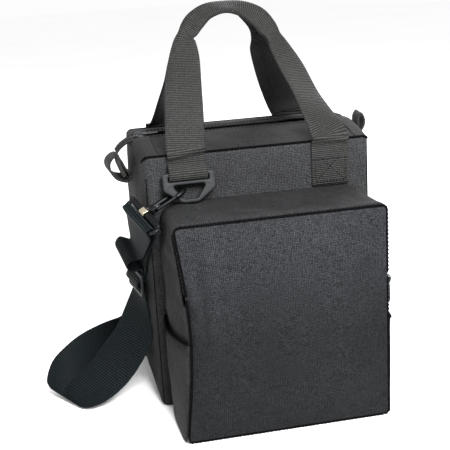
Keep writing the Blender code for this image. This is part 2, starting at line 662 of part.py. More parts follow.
def hook(word, frame):
    """A snap hook on a pin through the swivel's bar, with a sprung gate across its mouth."""
    turned = frame @ Matrix.Rotation(HOOK_TURN[word], 4, "X")
    half = 9.0
    top = RIM_REACH + 8.0
    route = [(8, -half, 0), (18, -half, 0), (top - half, -half, 0)]
    route += [(top - half + half * math.sin(a), -half * math.cos(a), 0)
              for a in (math.pi * k / 8 for k in range(1, 8))]
    route += [(top - half, half, 0), (top - half - 2.0, half, 0)]
    name = word + "_hook"
    made = as_mesh(name, rod(name, route, HOOK_ROD_R, Matrix.Identity(4)), (0, 0, 0), turned)
    block = box_mesh(name, (5.2, -half - 2.6, -2.8), (11.5, half - 3.6, 2.8), (0, 0, 0))
    boolean(made, cutter(name + "_base", block, turned), "UNION")
    for low, high in (((5.2, half - 4.2, 1.7), (15.5, half + 2.4, 2.9)),
                      ((5.2, half - 4.2, -2.9), (15.5, half + 2.4, -1.7))):
        boolean(made, cutter(name + "_cheek", box_mesh(name, low, high, (0, 0, 0)), turned), "UNION")
    for k, (a, b, radius) in enumerate(((-5.0, 8.0, PIN_R), (-5.9, -4.5, 3.2))):
        boolean(made, cutter(f"{name}_pin{k}", pin_mesh(name, a, b, radius), turned), "UNION")
    gate_name = word + "_gate"
    pivot_x, tip_x = 12.5, top - half - 2.3
    pivot = turned @ at(pivot_x, half, 0)
    gate = box_mesh(gate_name, (-2.3, -1.9, -1.4), (tip_x - pivot_x, 1.9, 1.4), (0, 0, 0))
    made = add(gate_name, gate, pivot)
    edge = made.modifiers.new("edge", "BEVEL")
    edge.width = 0.5 * MM
    edge.segments = 1


FRONT_SWIVEL = frame_at((-117.3, -93.4, 213.8), (0.890, 0.173, 0.422), (0.28, -0.74, -0.61))
REAR_SWIVEL = frame_at((80.6, 94.0, 189.1), (-0.25, -0.12, 0.96), (0.96, 0.05, 0.25))


def hardware():
    ring_tab("front_ring_tab", -1, -HANDLE_X)
    ring_tab("rear_ring_tab", 1, HANDLE_X)
    ring("front_ring", -1, -HANDLE_X)
    ring("rear_ring", 1, HANDLE_X)
    for word, frame in (("front", FRONT_SWIVEL), ("rear", REAR_SWIVEL)):
        swivel(word, frame)
        hook(word, frame)


# ---- shoulder strap --------------------------------------------------------------------------
GLIDE_AT = (-126.5, -31.0, 128.0)
GLIDE_ACROSS = (-0.12, 0.99, -0.05)
GLIDE_UP = (0.03, 0.05, 1.0)
GLIDE_H, GLIDE_T, GLIDE_BAR = 24.0, 2.5, 3.6


def loop_stops(frame, side_sign):
    """The stretch of webbing round the rod of a swivel, as stops in the bag's frame."""
    radius = 2.3 + STRAP_T / 2
    corner = radius * 0.95
    local = [(radius, 9.0), (radius, 1.0), (corner, -corner), (0, -radius),
             (-corner, -corner), (-radius, 1.0), (-radius, 9.0)]
    spin = frame.to_3x3()
    base = frame.translation / MM
    across = spin @ Vector((0, side_sign, 0))
    return [(base + spin @ Vector((x - SWIVEL_BACK, 0, z)), across) for x, z in local]


def tri_glide():
    """The adjuster: a plate with two slots and a bar between them that the strap goes over."""
    name = "tri_glide"
    half = STRAP_WEB / 2 + 0.8
    slot_h = (GLIDE_H - 3 * GLIDE_BAR) / 2
    shapes = [rounded([(-half - 3.6, -GLIDE_H / 2, 2), (half + 3.6, -GLIDE_H / 2, 2),
                       (half + 3.6, GLIDE_H / 2, 2), (-half - 3.6, GLIDE_H / 2, 2)], 2)]
    for low in (GLIDE_BAR / 2, -GLIDE_BAR / 2 - slot_h):
        shapes.append([(-half, low), (half, low), (half, low + slot_h), (-half, low + slot_h)])
    add(name, flat_curve(name, shapes, GLIDE_T), frame_at(GLIDE_AT, GLIDE_ACROSS, GLIDE_UP))


def strap():
    """The whole strap is one smooth path, cut into four lengths of webbing end to end."""
    tri_glide()
    glide = Vector(GLIDE_AT)
    far = GLIDE_ACROSS
    inner = [((-121.2, -31, 130), far), ((-121.0, -37, 148), (-0.12, 0.97, -0.1)),
             ((-120.8, -52, 168), (-0.15, 0.95, 0.1)), ((-120.2, -71, 188), (-0.2, 0.88, 0.35))]
    hump = [((-124.8, -66, 182), (-0.2, 0.9, 0.3)), ((-124.4, -46, 167), (-0.12, 0.96, 0.15)),
            ((-127.5, -30, 161.5), (-0.12, 0.96, 0.2)), ((-134, -23, 160), (-0.13, 0.95, 0.25)),
            ((-138.5, -22, 153), (-0.13, 0.95, 0.25)), ((-134.5, -25, 146.5), (-0.13, 0.97, 0.15)),
            ((-124.5, -29, 146), (-0.12, 0.99, 0.0))]
    over = [(glide + Vector((2.8, 0.4, 11.5)), far), (glide + Vector((2.6, 0.3, 8.0)), far),
            (glide + Vector((-3.4, 0.1, 2.4)), far), (glide + Vector((-3.4, -0.1, -2.4)), far),
            (glide + Vector((2.6, -0.3, -8.0)), far), (glide + Vector((2.8, -0.5, -12.5)), far)]
    fall = [((-126, -34, 100), (-0.3, 0.94, 0.05)), ((-133, -39, 74), (-0.6, 0.78, 0.15)),
            ((-147, -40, 53), (-0.66, 0.69, 0.29)), ((-164, -41, 33), (-0.63, 0.70, 0.33))]
    turn = [((-183, -40, 17), (-0.54, 0.80, 0.27)), ((-203, -37, 6), (-0.53, 0.84, 0.08)),
            ((-214.5, -25, 8), (-0.57, 0.79, 0.20)), ((-212, -9, 15), (-0.46, 0.72, 0.51)),
            ((-199.5, 6, 20.5), (-0.46, 0.52, 0.72)), ((-180, 32, 23.5), (-0.33, 0.41, 0.85)),
            ((-153.5, 53.5, 26), (-0.15, 0.15, 0.98)), ((-136.5, 65, 26.4), (-0.11, 0.06, 0.99)),
            ((-118, 84, 26), (-0.1, 0.3, 0.95)), ((-90, 98, 22.5), (-0.05, 0.6, 0.8)),
            ((-50, 110, 14.5), (0, 0.86, 0.5)), ((-10, 118, 7.5), (0, 0.97, 0.2))]
    rise = [((50, 124, 2.8), (0, 1, 0.02)), ((84, 121, 4), (0, 1, 0)),
            ((106, 118, 14), (0.03, 1, 0)), ((116, 114, 36), (0.1, 0.98, 0)),
            ((116, 109, 68), (0.3, 0.93, 0.03)), ((110, 104, 102), (0.6, 0.78, 0.12)),
            ((101, 100, 134), (0.85, 0.5, 0.2)), ((92, 98, 160), (0.95, 0.2, 0.24))]
    tail = [((94.5, 92.5, 157), (0.95, 0.2, 0.24)), ((98.5, 95.8, 143), (0.92, 0.32, 0.22))]
    lengths = {
        "strap_front_loop": inner + loop_stops(FRONT_SWIVEL, -1) + hump + over,
        "strap_front_run": fall,
        "strap_floor_run": turn,
        "strap_rear_run": rise + loop_stops(REAR_SWIVEL, 1)[::-1] + tail,
    }
    stops = [stop for part in lengths.values() for stop in part]
    steps = 3
    path = smooth([centre for centre, _ in stops], steps)
    sides = smooth([side for _, side in stops], steps)
    first = 0
    for name, part in lengths.items():
        last = min(first + len(part) * steps, len(path) - 1)
        rows = path[first:last + 1]
        if first > 0:
            rows[0] = rows[0] + (rows[1] - rows[0]).normalized() * GAP / 2
        if last < len(path) - 1:
            rows[-1] = rows[-1] + (rows[-2] - rows[-1]).normalized() * GAP / 2
        ribbon(name, rows, sides[first:last + 1], [STRAP_WEB] * len(rows), STRAP_T, ruled=True)
        first = last


build_steps = [main_shell, padding, top_panels, zip_ends, main_zip_slider, pocket, pocket_zip,
               slip_pockets, handles, hardware, strap]
for step in build_steps:
    step()
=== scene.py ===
"""Looks for the flight bag: soft lofted cloth, webbing, zips and moulded fittings round the CAD."""
import json
import math

import bmesh
import bpy
from mathutils import Matrix, Vector, noise


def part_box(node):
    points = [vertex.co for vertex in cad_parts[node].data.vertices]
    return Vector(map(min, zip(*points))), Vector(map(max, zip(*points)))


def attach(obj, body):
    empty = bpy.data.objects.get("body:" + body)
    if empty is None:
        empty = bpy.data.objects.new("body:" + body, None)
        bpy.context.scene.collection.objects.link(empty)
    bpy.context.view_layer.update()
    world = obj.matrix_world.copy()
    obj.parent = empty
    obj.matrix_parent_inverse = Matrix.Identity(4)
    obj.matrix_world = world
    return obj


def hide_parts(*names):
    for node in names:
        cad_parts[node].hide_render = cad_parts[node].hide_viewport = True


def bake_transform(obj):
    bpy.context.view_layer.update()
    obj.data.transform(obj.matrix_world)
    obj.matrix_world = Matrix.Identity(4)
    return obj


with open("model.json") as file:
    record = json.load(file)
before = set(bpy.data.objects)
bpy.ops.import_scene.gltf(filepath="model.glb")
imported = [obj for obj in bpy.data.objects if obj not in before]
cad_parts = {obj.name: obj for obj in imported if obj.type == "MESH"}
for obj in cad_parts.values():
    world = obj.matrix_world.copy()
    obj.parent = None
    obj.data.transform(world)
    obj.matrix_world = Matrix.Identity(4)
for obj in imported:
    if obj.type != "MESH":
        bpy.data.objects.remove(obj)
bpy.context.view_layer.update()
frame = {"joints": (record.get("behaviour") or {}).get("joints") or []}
MM = 0.001


# ---- sizes read from the frame, in millimetres ---------------------------------------------
def corners(node):
    """The lowest and highest corner of a CAD node's box."""
    low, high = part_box(node)
    return low / MM, high / MM


def middle_of(node):
    """The middle of a CAD node's box."""
    low, high = corners(node)
    return (low + high) / 2


JOINTS = {joint["child"]: joint for joint in frame["joints"]}
FRONT_PANEL = corners("main_front_panel")[1]
HALF_X, SEAM_Z = FRONT_PANEL.x, FRONT_PANEL.z
HALF_Y = corners("main_back_panel")[1].y
LIP = corners("top_panel_front")[1]
LIP_X, CREST_Z = LIP.x, LIP.z
ZIP_Z = middle_of("main_zip_half_rear").z
FLAP_LOW, FLAP_HIGH = corners("pocket_front_flap")
POCKET_X, POCKET_Y, POCKET_H = FLAP_HIGH.x, FLAP_LOW.y, FLAP_HIGH.z
FLAP_Z = FLAP_LOW.z
GUSSET_LOW, GUSSET_HIGH = corners("pocket_gusset_left")
GUSSET_Y, POCKET_BACK_Y = GUSSET_LOW.y, GUSSET_HIGH.y
ZIP_STOP_Z = corners("pocket_zip_end_left")[0].z
SLIP_HIGH = corners("slip_pocket_right")[1]
UP = Vector((0, 0, 1))
ENDS = (("left", -1), ("right", 1))       # of X
FACES = (("front", -1), ("rear", 1))      # of Y


# ---- camera, light and floor ---------------------------------------------------------------
CAMERA_PLACE = (-0.210, -0.988, 0.466)    # metres
CAMERA_TURNS = (10.7, 16.6, -3.4)         # yaw, pitch and roll in degrees
LENS, SENSOR = 78.1, 36.0
AIM = (0, -0.05, 0.16)
FLOOR_HALF = 6.0


def add(name, data):
    """A new object in the scene that shows the data given."""
    made = bpy.data.objects.new(name, data)
    bpy.context.scene.collection.objects.link(made)
    return made


def camera():
    """The main view: from the front left, looking slightly down, tipped a little."""
    yaw, pitch, roll = (math.radians(a) for a in CAMERA_TURNS)
    forward = Vector((math.sin(yaw) * math.cos(pitch), math.cos(yaw) * math.cos(pitch),
                      -math.sin(pitch)))
    level = Vector((math.cos(yaw), -math.sin(yaw), 0))
    up = level.cross(forward)
    across = level * math.cos(roll) + up * math.sin(roll)
    upright = up * math.cos(roll) - level * math.sin(roll)
    data = bpy.data.cameras.new("camera")
    data.lens = LENS
    data.sensor_width = SENSOR
    made = add("camera", data)
    turn = Matrix((across, upright, -forward)).transposed().to_4x4()
    made.matrix_world = Matrix.Translation(CAMERA_PLACE) @ turn
    bpy.context.scene.camera = made


def light(name, place, size, power):
    """A round soft light in metres and watts, aimed at the bag."""
    data = bpy.data.lights.new(name, "AREA")
    data.shape = "DISK"
    data.size = size
    data.energy = power
    made = add(name, data)
    made.location = place
    made.rotation_euler = (Vector(AIM) - Vector(place)).to_track_quat("-Z", "Y").to_euler()


def studio():
    """A white floor and surround, with soft lights in front, above and behind."""
    light("key", (0.05, -0.82, 0.80), 0.4, 30)
    light("top", (0.1, 0.2, 1.9), 1.0, 5)
    light("back", (0.9, 1.4, 1.2), 0.9, 26)
    world = bpy.data.worlds.new("studio")
    bpy.context.scene.world = world
    bpy.context.scene.view_settings.view_transform = "Standard"
    world.use_nodes = True
    surround = world.node_tree.nodes["Background"]
    surround.inputs["Color"].default_value = (1, 1, 1, 1)
    surround.inputs["Strength"].default_value = 0.98
    mesh = bpy.data.meshes.new("floor")
    shape = bmesh.new()
    bmesh.ops.create_grid(shape, x_segments=2, y_segments=2, size=FLOOR_HALF)
    shape.to_mesh(mesh)
    shape.free()
    floor = add("floor", mesh)
    paper = Finish("studio_paper", (0.97, 0.97, 0.97), 0.9)
    paper.mottle(0.35, 0.01)
    mesh.materials.append(paper.done())


# ---- materials -----------------------------------------------------------------------------
class Finish:
    """A Principled material whose colour, roughness and bump are built up from node textures."""

    def __init__(self, name, colour, roughness, metallic=0.0, sheen=0.0, specular=0.5):
        self.material = bpy.data.materials.new(name)
        self.material.use_nodes = True
        self.tree = self.material.node_tree
        self.shader = self.tree.nodes["Principled BSDF"]
        constants = {"Roughness": roughness, "Metallic": metallic, "Sheen Weight": sheen,
                     "Sheen Roughness": 0.45, "Specular IOR Level": specular,
                     "Base Color": (*colour, 1)}
        for socket, value in constants.items():
            self.shader.inputs[socket].default_value = value
        self.base = colour
        self.roughness = roughness
        self.colour = None
        self.height = None
        coordinates = self.node("ShaderNodeTexCoord")
        self.uv = coordinates.outputs["UV"]
        self.place = coordinates.outputs["Object"]

    def node(self, kind, **settings):
        made = self.tree.nodes.new(kind)
        for key, value in settings.items():
            setattr(made, key, value)
        return made

    def link(self, a, b):
        self.tree.links.new(a, b)

    def math(self, operation, a, b=None, clamp=False):
        made = self.node("ShaderNodeMath", operation=operation, use_clamp=clamp)
        for socket, value in zip(made.inputs, (a, b)):
            if value is None:
                continue
            if hasattr(value, "default_value"):
                self.link(value, socket)
            else:
                socket.default_value = value
        return made.outputs[0]

    def noise(self, size, detail=3.0, source=None, stretch=None):
        """Noise from 0 to 1 whose blotches are about size metres across."""
        source = source or self.place
        if stretch is not None:
            mapping = self.node("ShaderNodeMapping")
            mapping.inputs["Scale"].default_value = stretch
            self.link(source, mapping.inputs["Vector"])
            source = mapping.outputs[0]
        made = self.node("ShaderNodeTexNoise")
        made.inputs["Scale"].default_value = 1.0 / size
        made.inputs["Detail"].default_value = detail
        self.link(source, made.inputs["Vector"])
        return made.outputs["Fac"]

    def range(self, factor, low, high, span=(0.0, 1.0)):
        """Runs from low to high as factor crosses its span."""
        scale = self.node("ShaderNodeMapRange")
        self.link(factor, scale.inputs["Value"])
        for name, value in zip(("From Min", "From Max", "To Min", "To Max"), (*span, low, high)):
            scale.inputs[name].default_value = value
        return scale.outputs[0]

    def tint(self, factor, low, high, span=(0.0, 1.0)):
        """Multiplies the colour by low to high as factor crosses its span."""
        value = self.range(factor, low, high, span)
        self.colour = value if self.colour is None else self.math("MULTIPLY", self.colour, value)

    def raise_by(self, factor, amount):
        """Adds factor times amount, in metres, to the surface's height."""
        value = self.math("MULTIPLY", factor, amount)
        self.height = value if self.height is None else self.math("ADD", self.height, value)

    def mottle(self, size, amount):
        """Paler and darker blotches about size metres across."""
        self.tint(self.noise(size), 1.0 - amount, 1.0 + amount, (0.3, 0.7))

    def waves(self, axis, pitch):
        """Ridges from 0 to 1 along the UV's own X or Y, a pitch apart in metres."""
        split = self.node("ShaderNodeSeparateXYZ")
        self.link(self.uv, split.inputs[0])
        turns = self.math("MULTIPLY", split.outputs[axis], 2 * math.pi / pitch)
        return self.math("MULTIPLY_ADD", self.math("SINE", turns), 0.5)

    def wear(self, amount=0.12):
        """Edges a little paler than hollows."""
        edge = self.node("ShaderNodeNewGeometry").outputs["Pointiness"]
        self.tint(edge, 1.0 - amount, 1.0 + amount, (0.44, 0.56))

    def done(self):
        """Joins what has been built up to the shader."""
        if self.colour is not None:
            mix = self.node("ShaderNodeVectorMath", operation="SCALE")
            mix.inputs[0].default_value = self.base
            self.link(self.colour, mix.inputs["Scale"])
            self.link(mix.outputs[0], self.shader.inputs["Base Color"])
        if self.height is not None:
            bump = self.node("ShaderNodeBump")
            bump.inputs["Strength"].default_value = 1.0
            bump.inputs["Distance"].default_value = 1.0
            self.link(self.height, bump.inputs["Height"])
            self.link(bump.outputs[0], self.shader.inputs["Normal"])
        low, high = max(0.05, self.roughness - 0.07), min(1.0, self.roughness + 0.07)
        self.link(self.range(self.noise(0.02), low, high), self.shader.inputs["Roughness"])
        return self.material


def woven(name, colour, pitch=0.0016, depth=0.00022, sheen=0.01, painted_light=None, specular=0.07):
    """Coarse plain-woven pack cloth: two sets of threads, slubs and uneven dye, with light and shade
    painted by height if asked.
    """
    made = Finish(name, colour, 0.75, sheen=sheen, specular=specular)
    over = made.waves("X", pitch)
    under = made.waves("Y", pitch)
    weave = made.math("MULTIPLY", over, under)
    slubs = made.noise(0.0016, 2.0)
    made.raise_by(made.math("ADD", weave, made.math("MULTIPLY", slubs, 1.1)), depth)
    made.raise_by(made.noise(0.018, 2.0), 0.0010)
    made.tint(weave, 0.60, 1.9)
    made.tint(slubs, 0.42, 1.85, (0.3, 0.7))
    made.mottle(0.007, 0.12)
    made.mottle(0.06, 0.10)
    made.wear(0.10)
    # Painted light: the colour runs from shaded low down to lit higher up, between two heights in
    # metres.
    if painted_light is not None:
        height = made.node("ShaderNodeSeparateXYZ")
        made.link(made.place, height.inputs[0])
        made.tint(height.outputs["Z"], painted_light[0], painted_light[1], (painted_light[2], painted_light[3]))
    return made.done()


def webbing_finish(name, colour, pitch, sheen=0.01, contrast=0.75, specular=0.10):
    """Ribbed webbing: ribs run across it, and a fine herringbone along it."""
    made = Finish(name, colour, 0.62, sheen=sheen, specular=specular)
    ribs = made.waves("X", pitch)
    threads = made.waves("Y", 0.0024)
    made.raise_by(ribs, 0.00042)
    made.raise_by(threads, 0.00010)
    made.raise_by(made.noise(0.0015), 0.00010)
    made.tint(ribs, 1.0 - contrast, 1.0 + contrast)
    made.tint(threads, 0.90, 1.10)
    made.mottle(0.0022, 0.30)
    made.mottle(0.04, 0.10)
    return made.done()


def moulded(name, colour, roughness):
    """Moulded plastic with a fine spark texture, scuffed a little on its edges."""
    made = Finish(name, colour, roughness, specular=0.16)
    made.raise_by(made.noise(0.0007, 2.0), 0.00003)
    made.raise_by(made.noise(0.006, 2.0), 0.00006)
    made.mottle(0.004, 0.08)
    made.wear(0.30)
    return made.done()


def metal(name, colour, roughness):
    """Brushed metal, paler where its edges are worn."""
    made = Finish(name, colour, roughness, metallic=1.0)
    made.raise_by(made.noise(0.0012, 3.0, stretch=(1, 6, 1)), 0.00002)
    made.mottle(0.003, 0.12)
    made.wear(0.25)
    return made.done()


def foam_finish(name, colour):
    """Open-celled foam."""
    made = Finish(name, colour, 0.95, specular=0.2)
    cells = made.noise(0.0012, 4.0)
    made.raise_by(cells, 0.0004)
    made.tint(cells, 0.75, 1.2)
    made.mottle(0.03, 0.06)
    return made.done()


# Painted light: the same pack cloth in lit and shaded copies. The walls are a lit copy and the top
# panels a shaded one. The walls and the pocket's front also grow paler towards their tops, as if lit
# from above. CLOTH is the plain one.
WALL_CLOTH_LIT_ABOVE = woven("wall_cloth", (0.0122, 0.0125, 0.0130), painted_light=(0.75, 1.55, 0.14, 0.22))
CLOTH = woven("pack_cloth", (0.0105, 0.0107, 0.0112))
POCKET_CLOTH_LIT_ABOVE = woven("pocket_cloth", (0.0092, 0.0097, 0.0108), painted_light=(0.72, 1.38, 0.10, 0.19))
TOP_CLOTH_SHADED = woven("top_cloth", (0.0086, 0.0088, 0.0090))
# Edge cloth for seam cords, facings and hems: real binding, made near-black as painted shade along
# the seams.
EDGE_CLOTH_PAINTED_SHADE = woven("pack_cloth_edge", (0.0016, 0.0016, 0.0019), sheen=0.0, specular=0.015)
LINING = woven("lining_cloth", (0.045, 0.046, 0.050), pitch=0.0008, depth=0.00006)
HANDLE_WEBBING = webbing_finish("handle_webbing", (0.0155, 0.0162, 0.0152), 0.0019)
# The strap's webbing: a dark webbing, painted darker still as painted shade, for it lies in the
# bag's shadow.
STRAP_WEBBING_SHADED = webbing_finish("strap_webbing", (0.0042, 0.0060, 0.0068), 0.0026, sheen=0.0,
                               specular=0.04)
TAPE = webbing_finish("zip_tape", (0.008, 0.0083, 0.0088), 0.0011, contrast=0.2)
TEETH = moulded("zip_teeth", (0.004, 0.004, 0.0045), 0.45)
THREAD = webbing_finish("thread", (0.0022, 0.0022, 0.0026), 0.0008, sheen=0.0, contrast=0.2,
                        specular=0.03)
PLASTIC = moulded("acetal", (0.0050, 0.0055, 0.0060), 0.55)
BLACK_METAL = metal("black_metal", (0.012, 0.013, 0.014), 0.46)
BRIGHT_METAL = metal("bright_metal", (0.62, 0.55, 0.42), 0.26)
SLIDER_METAL = metal("slider_metal", (0.045, 0.047, 0.05), 0.42)
FOAM = foam_finish("foam", (0.12, 0.12, 0.13))
BOARD = moulded("board", (0.02, 0.02, 0.022), 0.5)


# ---- mesh helpers --------------------------------------------------------------------------
def smooth(points, steps, closed=False):
    """Points along a Catmull-Rom curve through the given rows of numbers."""
    rows = [Vector(p) for p in points]
    if closed:
        rows = [rows[-1]] + rows + rows[:2]
    else:
        rows = [rows[0] * 2 - rows[1]] + rows + [rows[-1] * 2 - rows[-2]]
    out = []
    for a, b, c, d in zip(rows, rows[1:], rows[2:], rows[3:]):
        for k in range(steps):
            t = k / steps
            out.append((b * 2 + (c - a) * t + (a * 2 - b * 5 + c * 4 - d) * t * t
                        + (b * 3 - a - c * 3 + d) * t ** 3) / 2)
    if not closed:
        out.append(rows[-2])
    return out


def ease(t):
    """From 0 to 1 with a soft start and end."""
    t = max(0.0, min(1.0, t))
    return t * t * (3 - 2 * t)


def lengths(points):
    """How far along the path each point lies."""
    total = [0.0]
    for a, b in zip(points, points[1:]):
        total.append(total[-1] + (b - a).length)
    return total


def each(value, count):
    """The list given, or a single value repeated."""
    return value if isinstance(value, list) else [value] * count


def grid(down, across, point):
    """Rows of points from a function of the shares down and across, both from 0 to 1."""
    return [[point(k / down, n / across) for n in range(across + 1)] for k in range(down + 1)]


def sew(name, rows, finish, wrap=False, skip=None, flip=False, caps=False):
    """A surface through rows of points in millimetres, with a UV map in metres of cloth."""
    count = len(rows[0])
    if any(len(row) != count for row in rows):
        raise ValueError("the rows of " + name + " differ in length")
    mesh = bpy.data.meshes.new(name)
    points = [tuple(p * MM) for row in rows for p in row]
    faces = []
    places = []
    middle = rows[len(rows) // 2]
    along = lengths(middle + ([middle[0]] if wrap else []))
    down = lengths([row[count // 2] for row in rows])
    for i in range(len(rows) - 1):
        for j in range(count if wrap else count - 1):
            if skip is not None and skip(i, j):
                continue
            k = (j + 1) % count
            face = [i * count + j, i * count + k, (i + 1) * count + k, (i + 1) * count + j]
            uv = [(along[j], down[i]), (along[j + 1], down[i]), (along[j + 1], down[i + 1]),
                  (along[j], down[i + 1])]
            if flip:
                face.reverse()
                uv.reverse()
            faces.append(face)
            places += uv
    if caps:
        first = list(range(count))
        last = [(len(rows) - 1) * count + j for j in range(count)]
        for cap in ((first[::-1], last) if not flip else (first, last[::-1])):
            faces.append(cap)
            places += [(0.0, 0.0)] * count
    mesh.from_pydata(points, [], faces)
    layer = mesh.uv_layers.new(name="cloth")
    for corner, (u, v) in zip(layer.data, places):
        corner.uv = (u * MM, v * MM)
    mesh.materials.append(finish)
    mesh.shade_smooth()
    return add(name, mesh)


def clean(mesh, merge=0.0, faces_out=True):
    """Merges points closer than merge metres, and turns the faces outward."""
    shape = bmesh.new()
    shape.from_mesh(mesh)
    if merge:
        bmesh.ops.remove_doubles(shape, verts=shape.verts, dist=merge)
    if faces_out:
        bmesh.ops.recalc_face_normals(shape, faces=shape.faces)
    shape.to_mesh(mesh)
    shape.free()


def thicken(piece, thickness, offset=-1.0):
    """Gives cloth its thickness: behind its faces at -1, half each way at 0, in front at 1."""
    solid = piece.modifiers.new("thickness", "SOLIDIFY")
    solid.thickness = thickness * MM
    solid.offset = offset
    return piece


def refine(piece):
    """Divides the piece's faces once, smoothly."""
    step = piece.modifiers.new("fine", "SUBSURF")
    step.levels = 1
    step.render_levels = 1
    return piece


def settle(piece):
    """Replaces the piece's mesh with the result of its modifiers."""
    bpy.context.view_layer.update()
    graph = bpy.context.evaluated_depsgraph_get()
    mesh = bpy.data.meshes.new_from_object(piece.evaluated_get(graph))
    piece.modifiers.clear()
    piece.data = mesh
    return piece


def dress(piece, body, slot_name, *nodes):
    """Fixes a piece to a body, in place of the CAD nodes that it stands for."""
    settle(piece)
    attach(piece, body)
    if nodes:
        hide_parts(*nodes)
    return piece


def tube(name, points, radius, finish, sides=10, closed=False):
    """A round cord or rod along points in millimetres; radius may be a list."""
    count = len(points)
    radii = each(radius, count)
    rows = []
    side = None
    for i, here in enumerate(points):
        ahead = points[(i + 1) % count] if closed else points[min(i + 1, count - 1)]
        behind = points[i - 1] if closed or i else points[0]
        along = (ahead - behind).normalized()
        if side is None:
            side = along.orthogonal().normalized()
        side = (side - along * side.dot(along)).normalized()
        other = along.cross(side)
        rows.append([here + (side * math.cos(a) + other * math.sin(a)) * radii[i]
                     for a in (2 * math.pi * k / sides for k in range(sides))])
    if closed:
        rows.append(rows[0])
    made = sew(name, rows, finish, wrap=True, caps=not closed)
    if closed:
        clean(made.data, merge=0.00001, faces_out=False)
    return made


# Half of the webbing's section, as shares of its half width and half thickness.
EDGE = ((-1, 0), (-0.985, 0.7), (-0.94, 1), (-0.5, 1), (0, 1), (0.5, 1), (0.94, 1), (0.985, 0.7))


def webbing(name, centres, sides, widths, thicknesses, finish, ruled=False):
    """Woven webbing along a row of centres: the way across it, its widths and thicknesses.

    Each of the three is a list or one value. The way across is squared up to the path, unless
    the webbing is ruled.
    """
    profile = list(EDGE) + [(-a, -b) for a, b in EDGE]
    rows = []
    count = len(centres)
    sides, widths, thicknesses = (each(v, count) for v in (sides, widths, thicknesses))
    for i, (centre, side) in enumerate(zip(centres, sides)):
        along = (centres[min(i + 1, count - 1)] - centres[max(i - 1, 0)]).normalized()
        if not ruled:
            side = side - along * side.dot(along)
        side = side.normalized()
        face = along.cross(side).normalized()
        half, thick = widths[i] / 2, thicknesses[i] / 2
        rows.append([centre + side * (a * half) + face * (b * thick)
                     for a, b in profile])
    made = sew(name, rows, finish, wrap=True, caps=True)
    layer = made.data.uv_layers["cloth"].data
    total = lengths(centres)
    corner = 0
    for i in range(count - 1):
        for j in range(len(profile)):
            k = (j + 1) % len(profile)
            places = ((i, j), (i, k), (i + 1, k), (i + 1, j))
            for row, column in places:
                across = profile[column][0] * widths[row] / 2
                layer[corner].uv = (total[row] * MM, across * MM)
                corner += 1
    return made


def stitches(points, normals, length=2.6, gap=1.2, radius=0.28):
    """A row of thread stitches lying on a surface along a path in millimetres."""
    total = lengths(points)
    normals = each(normals, len(points))
    verts, faces = [], []
    where = gap / 2

    def along_path(distance):
        distance = min(distance, total[-1] - 0.001)
        i = next(k for k in range(len(total) - 1) if total[k + 1] >= distance)
        span = total[i + 1] - total[i]
        t = (distance - total[i]) / span if span else 0.0
        return points[i].lerp(points[i + 1], t), normals[i].lerp(normals[i + 1], t).normalized()

    while where + length < total[-1]:
        start, up = along_path(where)
        end = along_path(where + length)[0]
        along = (end - start).normalized()
        side = along.cross(up).normalized()
        middle = (start + end) / 2 + up * radius * 0.5
        base = len(verts)
        verts += [start - up * radius * 0.6, end - up * radius * 0.6]
        quarter = (end - start) * 0.28
        for spot in (middle - quarter, middle + quarter):
            verts += [spot + side * radius, spot + up * radius, spot - side * radius,
                      spot - up * radius]
        for k in range(4):
            n = (k + 1) % 4
            faces.append((base, base + 2 + n, base + 2 + k))
            faces.append((base + 2 + k, base + 2 + n, base + 6 + n, base + 6 + k))
            faces.append((base + 1, base + 6 + k, base + 6 + n))
        where += length + gap
    mesh = bpy.data.meshes.new("stitches")
    mesh.from_pydata([tuple(v * MM) for v in verts], [], faces)
    layer = mesh.uv_layers.new(name="cloth")
    for corner, loop in zip(layer.data, mesh.loops):
        place = mesh.vertices[loop.vertex_index].co
        corner.uv = (place.x + place.y, place.z)
    mesh.materials.append(THREAD)
    mesh.shade_smooth()
    return add("stitches", mesh)


def join(name, pieces):
    """One object from several, keeping each one's material."""
    shape = bmesh.new()
    kinds = []
    for piece in pieces:
        settle(piece)
        start = len(shape.faces)
        shape.from_mesh(piece.data)
        kind = piece.data.materials[0]
        if kind not in kinds:
            kinds.append(kind)
        shape.faces.ensure_lookup_table()
        for face in shape.faces[start:]:
            face.material_index = kinds.index(kind)
        bpy.data.objects.remove(piece)
    mesh = bpy.data.meshes.new(name)
    shape.to_mesh(mesh)
    shape.free()
    for kind in kinds:
        mesh.materials.append(kind)
    return add(name, mesh)


def ripple(place, size, amount, seed=0.0):
    """Smooth unevenness of about amount millimetres, from the place in millimetres."""
    return amount * noise.noise(Vector(place) / size + Vector((seed, seed * 1.7, -seed)))


CLOTH_STEPS = 20          # frames that the cloth simulation runs for


